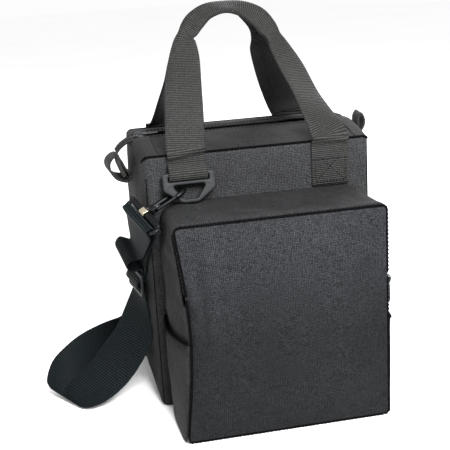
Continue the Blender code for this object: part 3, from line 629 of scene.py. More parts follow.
def puff(piece, pinned, pressure, cap, slack=0.012):
    """Blows the cloth up between its pinned seams, and keeps the shape it settles in.

    No point moves more than cap millimetres, and slack is the share by which the cloth is
    larger than the shape it starts from.
    """
    rest = [v.co.copy() for v in piece.data.vertices]
    group = piece.vertex_groups.new(name="seams")
    group.add(sorted(pinned), 1.0, "REPLACE")
    cloth = piece.modifiers.new("cloth", "CLOTH")
    settings = cloth.settings
    settings.quality = 6
    settings.mass = 0.25
    settings.tension_stiffness = 18
    settings.compression_stiffness = 18
    settings.shear_stiffness = 6
    settings.bending_stiffness = 1.2
    settings.vertex_group_mass = "seams"
    settings.use_pressure = True
    settings.uniform_pressure_force = pressure
    settings.shrink_min = -slack
    settings.effector_weights.gravity = 0.0
    cloth.collision_settings.use_collision = False
    scene = bpy.context.scene
    for number in range(1, CLOTH_STEPS + 1):
        scene.frame_set(number)
    graph = bpy.context.evaluated_depsgraph_get()
    settled = [v.co.copy() for v in piece.evaluated_get(graph).data.vertices]
    piece.modifiers.clear()
    piece.vertex_groups.clear()
    for vertex, before, after in zip(piece.data.vertices, rest, settled):
        move = after - before
        if move.length > cap * MM:
            move = move.normalized() * cap * MM
        vertex.co = before + move
    scene.frame_set(1)
    return piece


# ---- main compartment ----------------------------------------------------------------------
SHELL_T, TOP_T, TAPE_T, FACE_T, PATCH_T = 1.6, 1.4, 0.7, 1.8, 1.2  # cloth thicknesses
CORNER = 9.0              # plan radius of the wall corners
ROLL = 7.0                # how the cloth rounds over the left and right ends of the top
HEM_Y = 10.5              # the folded edge of each top panel, beside the zip


def rounded_plan(half_x, half_y, radius, step):
    """Points round a rounded rectangle, with the side each lies on and how far along it."""
    spots = []
    for nx, ny in ((0, -1), (1, 0), (0, 1), (-1, 0)):
        flat = (half_x if nx == 0 else half_y) - radius
        count = max(4, round(2 * flat / step))
        for i in range(count + 1):
            t = -1 + 2 * i / count
            if nx == 0:
                spots.append((Vector((-ny * t * flat, ny * half_y)), Vector((nx, ny)), (t + 1) / 2))
            else:
                spots.append((Vector((nx * half_x, nx * t * flat)), Vector((nx, ny)), (t + 1) / 2))
        for i in range(1, 4):
            a = math.atan2(ny, nx) + math.pi / 2 * i / 4
            middle = Vector((half_x - radius, half_y - radius))
            turn = Vector((math.cos(a), math.sin(a)))
            sign = Vector((1 if turn.x > 0 else -1, 1 if turn.y > 0 else -1))
            spots.append((Vector((middle.x * sign.x, middle.y * sign.y)) + turn * radius, turn, 0.0))
    return spots


def wall_top(x):
    """Height of the top seam, which drops round the left and right ends."""
    reach = abs(x) - (HALF_X - ROLL)
    return SEAM_Z - (ROLL - math.sqrt(max(0.0, ROLL ** 2 - reach ** 2)) if reach > 0 else 0.0)


def main_body():
    """The four padded walls and the base as one lofted tub that bellies out between its seams."""
    plan = rounded_plan(HALF_X, HALF_Y, CORNER, 6.0)
    # Each level is a height and how far it lies inside the walls; the last two make the hem.
    levels = [(0.3, 70.0), (0.3, 45.0), (0.3, 20.0), (0.3, 6.0), (1.2, 2.6), (3.5, 0.8)]
    levels += [(8 + k * 6.05, 0.0) for k in range(41)]
    levels += [(0.4, -0.6), (0.0, 0.0)]
    rows = []
    for index, (z, inset) in enumerate(levels):
        row = []
        for spot, out, t in plan:
            top = wall_top(spot.x)
            if index >= len(levels) - 2:
                height = top - (2.0 if index == len(levels) - 2 else 0.0)
                inset = 0.0 if index == len(levels) - 2 else 1.2
            elif z > 230:
                height = 230 + (z - 230) * (top - 4 - 230) / (250 - 230)
            else:
                height = z
            rise = max(0.0, min(1.0, height / top))
            swell = math.sin(math.pi * rise) ** 0.8 * math.sin(math.pi * t) ** 0.6 if t else 0.0
            depth = 4.0 if abs(out.x) > 0.9 else (2.6 if out.y > 0 else 1.0)
            dent = ripple((spot.x, spot.y, height), 55.0, 1.1) * swell
            shrink = 1 - inset / HALF_Y
            base = Vector((spot.x - out.x * inset, spot.y - out.y * inset, height))
            if inset > 7:
                base = Vector((spot.x * shrink, spot.y * shrink, height))
            bulge = (depth * swell + dent) if inset < 1 else 0.0
            row.append(base + Vector((out.x, out.y, 0)) * bulge)
        rows.append(row)
    # The wall cloth carries painted light: darker low down, paler towards the top.
    body = sew("main_shell", rows, WALL_CLOTH_LIT_ABOVE, wrap=True)
    columns = len(plan)
    pinned = set()
    for i, row in enumerate(rows):
        for j, (spot, out, t) in enumerate(plan):
            near_seam = t < 0.03 or t > 0.97
            patch = row[j].z > 210 and abs(out.y) > 0.9
            if i < 8 or i > len(rows) - 3 or near_seam or patch:
                pinned.add(i * columns + j)
    puff(body, pinned, 2.2, 4.0)
    thicken(body, SHELL_T)
    dress(body, "bag", "shell_cloth", "main_front_panel", "main_back_panel", "main_left_side",
          "main_right_side", "main_bottom_panel")


def piping(route, radius):
    """A cord along a seam, near-black as painted shade in the seam line."""
    return tube("seam", [Vector(p) for p in route], radius, EDGE_CLOTH_PAINTED_SHADE, sides=8)


def main_seams():
    """Bound seams down the four wall corners and along the top of the front and back."""
    pieces = []
    reach = CORNER * (1 - math.sqrt(0.5))
    for sx in (-1, 1):
        for sy in (-1, 1):
            x, y = sx * (HALF_X - reach + 0.2), sy * (HALF_Y - reach + 0.2)
            route = [(x, y, 3 + k * 5.0) for k in range(49)]
            pieces.append(piping(route, 0.4))
    for sy in (-1, 1):
        spots = []
        for k in range(6):
            angle = math.radians(60 - 12 * k)
            spots.append((-HALF_X + CORNER * (1 - math.sin(angle)),
                          HALF_Y - CORNER * (1 - math.cos(angle))))
        middle = HALF_X - CORNER
        spots += [(-middle + middle * k / 24, HALF_Y) for k in range(49)]
        spots += [(-x, y) for x, y in spots[5::-1]]
        route = [(x, sy * (y - 0.3), wall_top(x) - 0.2) for x, y in spots]
        pieces.append(piping(route, 1.25))
    dress(join("main_seams", pieces), "bag", "shell_cloth")


def top_height(x, y):
    """The closed top: crowned between its side seams, and sunk along the zip."""
    across = min(1.0, abs(y) / (HALF_Y - 1))
    crown = (CREST_Z - SEAM_Z) * (1 - across ** 1.8)
    return wall_top(x) + crown


def end_arc(t, side):
    """Round an end of the top: t from 0, level, to 1, straight down its wall."""
    flat = HALF_X - ROLL
    if t < 0.35:
        return side * (LIP_X + (flat - LIP_X) * t / 0.35), 0.0
    return side * flat, (t - 0.35) / 0.65 * math.pi / 2


def top():
    """Two padded top panels that fold down beside the zip, and the cloth across each end."""
    for word, side in FACES:
        def on_panel(t, s):
            x = LIP_X * (2 * s - 1)
            y = side * (HALF_Y - 1.2 + (HEM_Y - HALF_Y + 1.2) * ease(t) ** 0.92)
            belly = 1.1 * math.sin(math.pi * s) ** 0.5 + ripple((x, y, 0), 26.0, 0.7, 3.0)
            return Vector((x, y, top_height(x, y) - 0.6 + belly * math.sin(math.pi * t)))

        rows = grid(21, 50, on_panel)
        hem = [Vector((p.x, side * (HEM_Y - 1.6), p.z - 1.3)) for p in rows[-1]]
        under = [Vector((p.x, side * (HEM_Y + 2.0), p.z - 2.8)) for p in rows[-1]]
        # The top panels are a shaded copy of the cloth: painted shade.
        panel = sew("top_panel", rows + [hem, under], TOP_CLOTH_SHADED, flip=side > 0)
        thicken(refine(panel), TOP_T)
        lines = []
        for inset in (2.4, 7.5):
            path = [Vector((-LIP_X + 1.5 + q * 4.0, side * (HEM_Y + inset), 0)) for q in range(50)]
            for p in path:
                p.z = top_height(p.x, p.y) + 0.1
            lines.append(stitches(path, UP))
        made = join("top_cloth_" + word, [panel] + lines)
        settle(made)
        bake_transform(made)
        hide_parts("top_panel_" + word)
    for word, side in ENDS:
        def on_end(t, s):
            x, angle = end_arc(t, side)
            reach = max(0.0, abs(x) + ROLL * math.sin(angle) - (HALF_X - CORNER))
            half = HALF_Y - 1.2 - CORNER + math.sqrt(max(0.0, CORNER ** 2 - reach ** 2))
            y = (2 * s - 1) * half
            crown = top_height(0, y) - SEAM_Z
            dip = 3.6 * ease(1 - abs(y) / 15.0)
            lift = ROLL + (crown - dip) * max(0.0, math.cos(angle)) ** 0.6
            return Vector((x + side * lift * math.sin(angle), y,
                           SEAM_Z - ROLL + lift * math.cos(angle)))

        piece = sew("top_end_cloth_" + word, grid(14, 44, on_end), CLOTH, flip=side > 0)
        thicken(piece, TOP_T)
        dress(piece, "bag", "shell_cloth", "top_end_" + word)


# ---- zips ----------------------------------------------------------------------------------
TOOTH_PITCH = 1.6
TAPE_IN, TEETH_IN = 2.6, 3.1      # where the tape and the teeth begin, from the zip's middle
# One tooth, from its root to its tip: how far out, then its half height and half length.
TOOTH = ((0.0, 0.75, 0.42), (1.5, 0.95, 0.50), (2.6, 0.5, 0.34))


def coil(points, normals, sideways):
    """A row of zip teeth along a path: each a small block reaching sideways."""
    total = lengths(points)
    normals, sideways = each(normals, len(points)), each(sideways, len(points))
    verts, faces = [], []
    k, i = 0.5, 0
    while k * TOOTH_PITCH < total[-1]:
        distance = k * TOOTH_PITCH
        while total[i + 1] < distance:
            i += 1
        t = (distance - total[i]) / (total[i + 1] - total[i])
        here = points[i].lerp(points[i + 1], t)
        up = normals[i].lerp(normals[i + 1], t).normalized()
        out = sideways[i].lerp(sideways[i + 1], t).normalized()
        along = out.cross(up).normalized()
        base = len(verts)
        for reach, high, long in TOOTH:
            for a, b in ((-1, -1), (1, -1), (1, 1), (-1, 1)):
                verts.append(here + out * reach + along * long * a + up * high * b)
        for ring in (0, 4):
            for q in range(4):
                n = (q + 1) % 4
                faces.append((base + ring + q, base + ring + n, base + ring + 4 + n,
                              base + ring + 4 + q))
        faces += [(base + 3, base + 2, base + 1, base), (base + 8, base + 9, base + 10, base + 11)]
        k += 1
    mesh = bpy.data.meshes.new("teeth")
    mesh.from_pydata([tuple(v * MM) for v in verts], [], faces)
    clean(mesh)
    mesh.uv_layers.new(name="cloth")
    mesh.materials.append(TEETH)
    return add("teeth", mesh)


def main_zip():
    """Each half of the top zip: flat tape with its row of teeth."""
    for word, side in FACES:
        xs = [-LIP_X + 0.5 + k * (2 * LIP_X - 1) / 50 for k in range(51)]
        rows = [[Vector((x, side * y, ZIP_Z - drop)) for x in xs]
                for y, drop in ((TAPE_IN, 0.0), (5.0, 0.1), (9.0, 0.4), (15.5, 0.9))]
        tape = sew("tape", rows, TAPE, flip=side < 0)
        thicken(tape, TAPE_T, 0.0)
        path = [Vector((x, side * TEETH_IN, ZIP_Z + 0.2)) for x in xs]
        teeth = coil(path, UP, Vector((0, -side, 0)))
        made = join("main_zip_" + word, [tape, teeth])
        dress(made, "top_" + word, "zip_tape", "main_zip_half_" + word)


def zip_end(word, route, split):
    """The zip's tape runs on over the end of the bag, as two lanes where the zip is split."""
    across = Vector((0, 1, 0))
    path = smooth(route, 5)
    made = []
    edge = 13.0
    lanes = ((-edge, -0.7), (0.7, edge)) if split else ((-edge, edge),)
    for low, high in lanes:
        middle, width = (low + high) / 2, high - low
        centres = [p + across * middle for p in path]
        made.append(webbing("tape", centres, across, width, 1.0, TAPE))
    normals = []
    for i in range(len(path)):
        along = (path[min(i + 1, len(path) - 1)] - path[max(i - 1, 0)]).normalized()
        normals.append(along.cross(across) * (1 if along.cross(across).z > 0 else -1))
    for side in (-1, 1):
        roots = [p + across * side * TEETH_IN + n * 0.3 for p, n in zip(path, normals)]
        made.append(coil(roots, normals, across * -side))
        line = [p + across * side * 11.0 + n * 0.6 for p, n in zip(path, normals)]
        made.append(stitches(line, normals))
    dress(join("zip_end_tape_" + word, made), "bag", "zip_tape", "zip_end_" + word)


def zip_ends():
    """The tape past both ends of the top opening, and the webbing loop that caps each end."""
    zip_end("left", [(-LIP_X - 0.5, 0, ZIP_Z), (-109, 0, ZIP_Z), (-115.5, 0, ZIP_Z),
                     (-122, 0, 267.6), (-128.5, 0, 263), (-133, 0, 258)], True)
    zip_end("right", [(LIP_X + 0.5, 0, ZIP_Z), (109, 0, ZIP_Z), (114.5, 0, ZIP_Z),
                      (118.5, 0, 268), (121, 0, 264), (122, 0, 259.5)], False)
    loops = {
        "left": [(-135.5, 0, 255), (-142, 0, 249), (-142, 0, 241), (-136, 0, 233),
                 (-126, 0, 230), (-123, 0, 235), (-127.5, 0, 244), (-131, 0, 252)],
        "right": [(122, 0, 254), (127, 0, 256), (131.5, 0, 262), (132.5, 0, 269),
                  (129.5, 0, 275), (126, 0, 271), (125.5, 0, 264), (123.5, 0, 258.5)],
    }
    for word, route in loops.items():
        path = smooth(route, 5, closed=True)
        path = path + path[:1]
        across = Vector((0, 1, 0))
        twist = Vector((-0.22, 0, 0.20)) if word == "left" else Vector((0.10, 0, 0))
        ways = [(across + twist * math.sin(math.pi * k / (len(path) - 1))).normalized()
                for k in range(len(path))]
        pieces = [webbing("tab", path, ways, 24.0, 2.3, HANDLE_WEBBING)]
        if word == "left":
            sewn = smooth([(-132, 0, 253), (-131.5, 0, 246), (-129, 0, 239), (-126, 0, 232.5)], 4)
            pieces.append(webbing("tab_end", sewn, across, 23.0, 4.6, HANDLE_WEBBING))
        dress(join("zip_tab_webbing_" + word, pieces), "bag", "handle_webbing", "zip_tab_" + word)


# ---- box pocket ----------------------------------------------------------------------------
# Corner radii: the band at the back and at the front, and at the floor.
TOP_CORNER, FRONT_CORNER, FOOT_CORNER = 16.0, 5.0, 7.0
BOW = 8.7                 # how far the pocket's front left edge is drawn in, at mid height


def drawn_in(p):
    """Moves a point of the pocket with its front left edge, which sags towards the middle."""
    depth = (POCKET_BACK_Y - p.y) / (POCKET_BACK_Y - POCKET_Y)
    height = min(1.0, max(0.0, p.z / POCKET_H))
    shift = BOW * math.sin(math.pi * height) ** 1.2 * ease((-p.x - 40) / 55) * ease(depth)
    return Vector((p.x + shift, p.y, p.z))


def hoop(radius, inset, step=5.0, low=0.4):
    """Round the pocket in its face plane: position, outward direction and share of the side.

    The number of points depends only on the step, so that hoops of any radius can be sewn.
    """
    foot = FOOT_CORNER
    x, top = POCKET_X - inset, POCKET_H - inset
    up, across, under = POCKET_H - TOP_CORNER, 2 * (POCKET_X - TOP_CORNER), 2 * (POCKET_X - foot)
    spots = []

    def straight(a, b, out, nominal):
        count = max(3, round(nominal / step))
        for i in range(count + 1):
            spots.append((a.lerp(b, i / count), out, i / count))

    def arc(middle, size, start, steps=5):
        for i in range(1, steps):
            a = math.radians(start - 90 * i / steps)
            turn = Vector((math.cos(a), math.sin(a)))
            spots.append((middle + turn * size, turn, 0.0))

    straight(Vector((-x, low + foot)), Vector((-x, top - radius)), Vector((-1, 0)), up)
    arc(Vector((-x + radius, top - radius)), radius, 180)
    straight(Vector((-x + radius, top)), Vector((x - radius, top)), Vector((0, 1)), across)
    arc(Vector((x - radius, top - radius)), radius, 90)
    straight(Vector((x, top - radius)), Vector((x, low + foot)), Vector((1, 0)), up)
    arc(Vector((x - foot, low + foot)), foot, 0, 4)
    straight(Vector((x - foot, low)), Vector((-x + foot, low)), Vector((0, -1)), under)
    arc(Vector((-x + foot, low + foot)), foot, -90, 4)
    return spots


def pocket_gusset():
    """The pocket's sides, top and base as one padded band; the zip takes its front edge."""
    back, front = POCKET_BACK_Y, POCKET_Y + 2.9
    count = 19
    rows = []
    for k in range(count):
        y = back + (front - back) * k / (count - 1)
        along = k / (count - 1)
        row = []
        radius = TOP_CORNER + (FRONT_CORNER + 1.5 - TOP_CORNER) * along ** 1.6
        hood = 0.5 * ease((GUSSET_Y + 3 - y) / 5.0)
        for spot, out, t in hoop(radius, 0.9, low=2.0):
            swell = math.sin(math.pi * along) * (math.sin(math.pi * t) ** 0.5 if t else 0.15)
            depth = 0.0 if out.y < -0.9 else (2.6 if abs(out.x) > 0.9 else 1.7)
            dent = ripple((spot.x, y, spot.y), 42.0, 0.9, 5.0)
            bulge = swell * (depth + dent) + (hood if out.y > 0.2 else 0.0)
            row.append(drawn_in(Vector((spot.x + out.x * bulge, y, spot.y + out.y * bulge))))
        rows.append(row)
    plan = hoop(TOP_CORNER, 0.9)

    def zip_gap(i, j):
        y = (rows[i][j].y + rows[i + 1][j].y) / 2
        side = abs(plan[j][1].x) > 0.98 and abs(plan[(j + 1) % len(plan)][1].x) > 0.98
        return side and y < GUSSET_Y + 1.0 and rows[i][j].z > ZIP_STOP_Z

    band = sew("pocket_gusset_cloth", rows, CLOTH, wrap=True, skip=zip_gap)
    columns = len(plan)
    pinned = {i * columns + j for i in range(count) for j in range(columns)
              if i < 1 or i > count - 4 or plan[j][1].y < -0.9 or plan[j][2] in (0.0, 1.0)
              or (plan[j][1].x < -0.9 or plan[j][1].x > 0.9) and plan[j][0].y < 110}
    puff(band, pinned, 2.0, 2.5)
    thicken(band, SHELL_T)
    dress(band, "bag", "shell_cloth", "pocket_gusset_left", "pocket_gusset_right",
          "pocket_gusset_top", "pocket_bottom_panel", "pocket_binding_left",
          "pocket_binding_right")


def front_face(x, z, edge):
    """Depth of the pocket's front at a point that is edge millimetres in from its outline."""
    roll = 4.5
    if edge < roll:
        return POCKET_Y + 0.4 + 2.4 * (1 - math.sqrt(max(0.0, 1 - (1 - edge / roll) ** 2)))
    u, v = x / POCKET_X, z / POCKET_H
    belly = 5.0 * (1 - u * u) ** 0.6 * math.sin(math.pi * min(1, max(0, v))) ** 0.7
    fold = 4.6 * math.exp(-((x + 91 - 5 * v) / 6.0) ** 2) * ease((v - 0.35) / 0.25)
    fold += 1.2 * math.exp(-((x - 89) / 6.0) ** 2) * ease(v / 0.5)
    dent = ripple((x, 0, z), 60.0, 1.5, 9.0) + ripple((x, 0, z), 24.0, 0.5, 2.0)
    blend_in = ease((edge - roll) / 18.0)
    return POCKET_Y + 0.4 - (belly + dent - fold) * blend_in


def pocket_front():
    """One cloth face, in place of both the flap and the lower front."""
    def outline(z):
        if z > POCKET_H - FRONT_CORNER:
            rise = z - (POCKET_H - FRONT_CORNER)
            return POCKET_X - FRONT_CORNER + math.sqrt(max(0.0, FRONT_CORNER ** 2 - rise ** 2))
        if z < FOOT_CORNER:
            return POCKET_X - FOOT_CORNER + math.sqrt(max(0.0, FOOT_CORNER ** 2
                                                          - (FOOT_CORNER - z) ** 2))
        return POCKET_X

    def spread(count, low, high, soft):
        """Rows that crowd together near both ends."""
        out = []
        for k in range(count + 1):
            t = k / count
            out.append(low + (high - low) * (t - soft * math.sin(2 * math.pi * t) / (2 * math.pi)))
        return out

    rows = []
    for z in spread(64, 0.5, POCKET_H, 0.85):
        half = outline(z)
        row = []
        for s in spread(60, -1.0, 1.0, 0.85):
            x = s * half
            inset = min(half - abs(x), POCKET_H - z, z - 0.5)
            corner = POCKET_H - FRONT_CORNER
            if z > corner and abs(x) > POCKET_X - FRONT_CORNER:
                across = abs(x) - (POCKET_X - FRONT_CORNER)
                inset = FRONT_CORNER - math.hypot(across, z - corner)
            row.append(drawn_in(Vector((x, front_face(x, z, max(0.0, inset)), z))))
        rows.append(row)
    # The face's cloth carries painted light: shaded low down, paler towards the top.
    face = sew("pocket_face", rows, POCKET_CLOTH_LIT_ABOVE)
    columns = len(rows[0])
    pinned = set()
    for i, row in enumerate(rows):
        for j, p in enumerate(row):
            if min(POCKET_X - abs(p.x), POCKET_H - p.z, p.z) < 5.0:
                pinned.add(i * columns + j)
    puff(face, pinned, 0.8, 2.5, slack=0.006)
    thicken(face, FACE_T)
    settle(face)
    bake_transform(face)
    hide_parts("pocket_front_flap", "pocket_front_lower")


def pocket_edge():
    """The bound edge round the pocket's front: cord, stitching and the facing behind them, whose
    near-black cloth is painted shade along the seam.

    It comes in two parts, so that the upper one folds down with the flap.
    """
    spots = hoop(FRONT_CORNER, 0.9, step=4.0)
    path = [drawn_in(Vector((s.x, POCKET_Y + 1.4, max(2.4, s.y)))) for s, _, _ in spots]
    outs = [Vector((o.x, -0.6, o.y)).normalized() for _, o, _ in spots]
    upper = [k for k, p in enumerate(path) if p.z > FLAP_Z + 2]
    lower = [k for k, p in enumerate(path) if p.z <= FLAP_Z + 2]
    start = next(k for k in lower if k - 1 in upper) if upper[0] > lower[0] else lower[0]
    lower = [k for k in lower if k >= start] + [k for k in lower if k < start]
    for name, keep, body in (("flap", upper, "pocket_flap"), ("lower", lower, "bag")):
        route = [path[k] for k in keep]
        ways = [outs[k] for k in keep]
        cord = piping([p - w * 0.1 for p, w in zip(route, ways)], 1.25)
        thread = stitches([p + w * 1.15 for p, w in zip(route, ways)], ways,
                          length=1.9, gap=2.0, radius=0.52)
        rows = []
        for share in (0.0, 0.5, 1.0):
            row = []
            for k in keep:
                s, o, _ = spots[k]
                beside_zip = abs(o.x) > 0.9 and s.y > ZIP_STOP_Z - 2
                reach = 1.4 if beside_zip else 5.5
                row.append(drawn_in(Vector((s.x - o.x * 0.6, POCKET_Y + 1.0 + reach * share,
                                            s.y - o.y * 0.6))))
            rows.append(row)
        # The facing fills the gap between the gusset and the face with near-black cloth: painted
        # shade.
        facing = sew("facing", rows, EDGE_CLOTH_PAINTED_SHADE)
        dress(join("pocket_edge_" + name, [cord, thread, facing]), body, "shell_cloth")


def pocket_zip():
    """Tape and teeth on both sides of the zip, over the top and down each side.

    The lowest stretch on each side stays closed, below the line where the flap folds.
    """
    inset = 2.6
    spots = hoop(FRONT_CORNER + 4, inset, step=4.0)
    upper = [(s + o * 0.9 * abs(o.x) ** 5, o, t) for s, o, t in spots
             if s.y > FLAP_Z + 0.5 and o.y > -0.5]
    zip_y = POCKET_Y + 8.0
    lanes = {
        "front": ((POCKET_Y + 2.9, zip_y - TAPE_IN), zip_y - TEETH_IN, 1.0, "pocket_flap"),
        "rear": ((zip_y + TAPE_IN, GUSSET_Y + 1.5), zip_y + TEETH_IN, -1.0, "bag"),
    }
    for word, (ys, teeth_y, way, body) in lanes.items():
        rows = [[drawn_in(Vector((s.x, y, s.y))) for s, _, _ in upper] for y in ys]
        tape = sew("tape", rows, TAPE)
        thicken(tape, TAPE_T, 0.0)
        path = [drawn_in(Vector((s.x + o.x * 0.4, teeth_y, s.y + o.y * 0.4)))
                for s, o, _ in upper]
        ways = [Vector((o.x, 0, o.y)) for _, o, _ in upper]
        teeth = coil(path, ways, Vector((0, way, 0)))
        made = join("pocket_zip_" + word, [tape, teeth])
        dress(made, body, "zip_tape", "pocket_zip_half_" + word)
    for word, side in ENDS:
        zs = [ZIP_STOP_Z + 0.5 + k * 1.2 for k in range(11)]
        x = side * (POCKET_X - inset)
        pieces = []
        for ys, teeth_y, way, _ in lanes.values():
            rows = [[drawn_in(Vector((x, y, z))) for z in zs] for y in ys]
            tape = sew("tape", rows, TAPE)
            thicken(tape, TAPE_T, 0.0)
            path = [drawn_in(Vector((x + side * 0.4, teeth_y, z))) for z in zs]
            teeth = coil(path, Vector((side, 0, 0)), Vector((0, way, 0)))
            pieces += [tape, teeth]
        dress(join("pocket_zip_foot_" + word, pieces), "bag", "zip_tape",
              "pocket_zip_end_" + word)


def slip_pockets():
    """A patch on each side of the box pocket, open and hemmed along its top."""
    deep = (SLIP_HIGH.x - POCKET_X) - 1.0
    front, back = POCKET_Y + 3.5, SLIP_HIGH.y - 1
    for word, side in ENDS:
        def on_patch(t, s):
            y = front + (back - front) * s
            sag = 3.5 * math.sin(math.pi * s)
            z = 2.4 + (SLIP_HIGH.z - 1.6 - sag * ease(t) - 2.4) * t
            swell = math.sin(math.pi * s) ** 0.55 * (0.45 + 0.55 * ease(t * 1.6))
            out = 1.2 + deep * swell * 0.82 + ripple((side * 90, y, z), 24.0, 1.0, 7.0) * swell
            return drawn_in(Vector((side * (POCKET_X + 0.4 + out), y, z)))

        rows = grid(21, 24, on_patch)
        patch = sew("patch", rows, CLOTH, flip=side < 0)
        thicken(patch, PATCH_T)
        rim = [p + Vector((side * 0.1, 0, 0)) for p in rows[-1]]
        hem = tube("hem", rim, 1.5, EDGE_CLOTH_PAINTED_SHADE, sides=8)
        lines = [stitches([p + Vector((side * 0.2, 0, -drop)) for p in rows[-1]],
                          Vector((side, 0, 0))) for drop in (5.0, 8.0)]
        made = join("slip_pocket_cloth_" + word, [patch, hem] + lines)
        dress(made, "bag", "shell_cloth", "slip_pocket_" + word)


# ---- webbing handles -----------------------------------------------------------------------
HANDLE_X = 72             # where the legs stand, left and right of the middle
HANDLE_WIDE, HANDLE_T = 38.0, 2.2
FLAT = (HANDLE_WIDE, HANDLE_T)
# Each row is one station along the webbing: x, its share of the pivot's y, and z; then the
# way across the webbing; then its width and thickness, which change where it is folded.
HANDLE_LEGS = {
    "front_handle": (
        ((-72, 1.0, 274), (1, 0, 0), *FLAT),
        ((-69.5, 0.86, 297), (1, -0.05, 0), *FLAT),
        ((-65, 0.58, 326), (0.98, -0.2, 0), 36, 2.2),
        ((-59.5, 0.34, 350), (0.94, -0.3, -0.05), 31, 2.4),
        ((-56.5, 0.22, 365), (0.94, -0.3, -0.05), 23, 3.0),
        ((-54.5, 0.19, 371), (0.86, -0.35, -0.25), 17, 4.2),
        ((-50, 0.17, 377), (0.74, -0.45, -0.5), 20, 4.4),
        ((-43, 0.16, 385), (0.66, -0.55, -0.5), 21, 4.4),
        ((-31, 0.155, 393), (0.45, -0.75, -0.5), 19, 4.6),
        ((-14, 0.155, 396), (0.1, -0.92, -0.4), 19, 4.6),
        ((4, 0.155, 393), (-0.35, -0.75, -0.55), 20, 4.6),
        ((20, 0.16, 384), (-0.68, -0.45, -0.6), 22, 4.4),
        ((30, 0.18, 372), (-0.80, -0.42, -0.5), 21, 4.4),
        ((35, 0.21, 363), (-0.86, -0.45, -0.3), 18, 4.2),
        ((39.5, 0.26, 354), (-0.82, -0.55, -0.2), 25, 3.2),
        ((48, 0.44, 334), (-0.75, -0.62, -0.15), 34, 2.4),
        ((57, 0.68, 309), (-0.76, -0.62, 0), *FLAT),
        ((66, 0.92, 285), (-0.92, -0.35, 0), *FLAT),
        ((71.5, 1.0, 272), (-1, -0.1, 0), *FLAT),
    ),
    "rear_handle": (
        ((-71, 1.0, 274), (0.80, 0.58, 0), *FLAT),
        ((-67, 0.86, 297), (0.62, 0.78, 0), *FLAT),
        ((-61, 0.58, 326), (0.55, 0.82, 0), 35, 2.2),
        ((-56, 0.34, 350), (0.6, 0.78, -0.2), 29, 2.8),
        ((-50, 0.19, 370), (0.6, 0.7, -0.4), 20, 3.8),
        ((-40, 0.16, 383), (0.5, 0.75, -0.4), 18, 4.6),
        ((-25, 0.155, 392), (0.3, 0.9, -0.3), 18, 4.6),
        ((-8, 0.155, 395), (0, 1, -0.1), 18, 4.6),
        ((8, 0.155, 390), (-0.3, 0.9, -0.3), 18, 4.6),
        ((20, 0.16, 380), (-0.6, 0.7, -0.4), 18, 4.6),
        ((25.5, 0.18, 371), (-0.75, 0.55, -0.3), 17, 4.4),
        ((29, 0.22, 362), (-0.85, 0.45, -0.2), 20, 3.6),
        ((34, 0.29, 350), (-0.88, 0.42, -0.1), 31, 2.6),
        ((42, 0.48, 332), (-0.92, 0.35, -0.1), 35, 2.2),
        ((53, 0.72, 308), (-0.96, 0.25, 0), *FLAT),
        ((64, 0.93, 285), (-1, 0.1, 0), *FLAT),
        ((71, 1.0, 272), (-1, 0, 0), *FLAT),
    ),
}


def handle(body, side):
    """One length of webbing: flat legs, folded in half where the hand holds it."""
    pivot = Vector(JOINTS[body]["pos_m"]) / MM
    x, y, z = HANDLE_X, pivot.y, pivot.z
    crease = y + 2.8 * side
    foot = [((-x, y, z - 14), (1, 0, 0)), ((-x, y, z - 6), (1, 0, 0)),
            ((-x, y, z + 0.5), (1, 0, 0.2)), ((-x, crease, z + 6.5), (1, 0, 0.25))]
    far_foot = [((x, crease, z + 6), (-1, 0, 0.1)), ((x, y, z + 0.5), (-1, 0, 0)),
                ((x, y, z - 6), (-1, 0, 0)), ((x, y, z - 14), (-1, 0, 0))]
    legs = HANDLE_LEGS[body]
    route = [p for p, _ in foot] + [(at_x, y * share, up) for (at_x, share, up), *_ in legs]
    route += [p for p, _ in far_foot]
    across = [w for _, w in foot] + [w for _, w, _, _ in legs] + [w for _, w in far_foot]
    sizes = [(*FLAT, 0)] * 4 + [(w, t, 0) for _, _, w, t in legs] + [(*FLAT, 0)] * 4
    steps = 6
    path = smooth(route, steps)
    turns = smooth(across, steps)
    sizes = smooth(sizes, steps)
    made = webbing("handle_web", path, turns, [s.x for s in sizes], [s.y for s in sizes],
                   HANDLE_WEBBING)
    settle(made)
    made.name = body + "_webbing"
    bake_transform(made)
    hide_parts(body)


def box_stitch(middle, half_x, half_z, out):
    """A sewn box with a cross, as holds a webbing end."""
    spots = [middle + Vector((x * half_x, 0, z * half_z))
             for x, z in ((-1, -1), (1, -1), (1, 1), (-1, 1))]
    return [stitches([spots[a], spots[b]], out, length=2.4, gap=1.0, radius=0.35)
            for a, b in ((0, 1), (1, 2), (2, 3), (3, 0), (0, 2), (1, 3))]


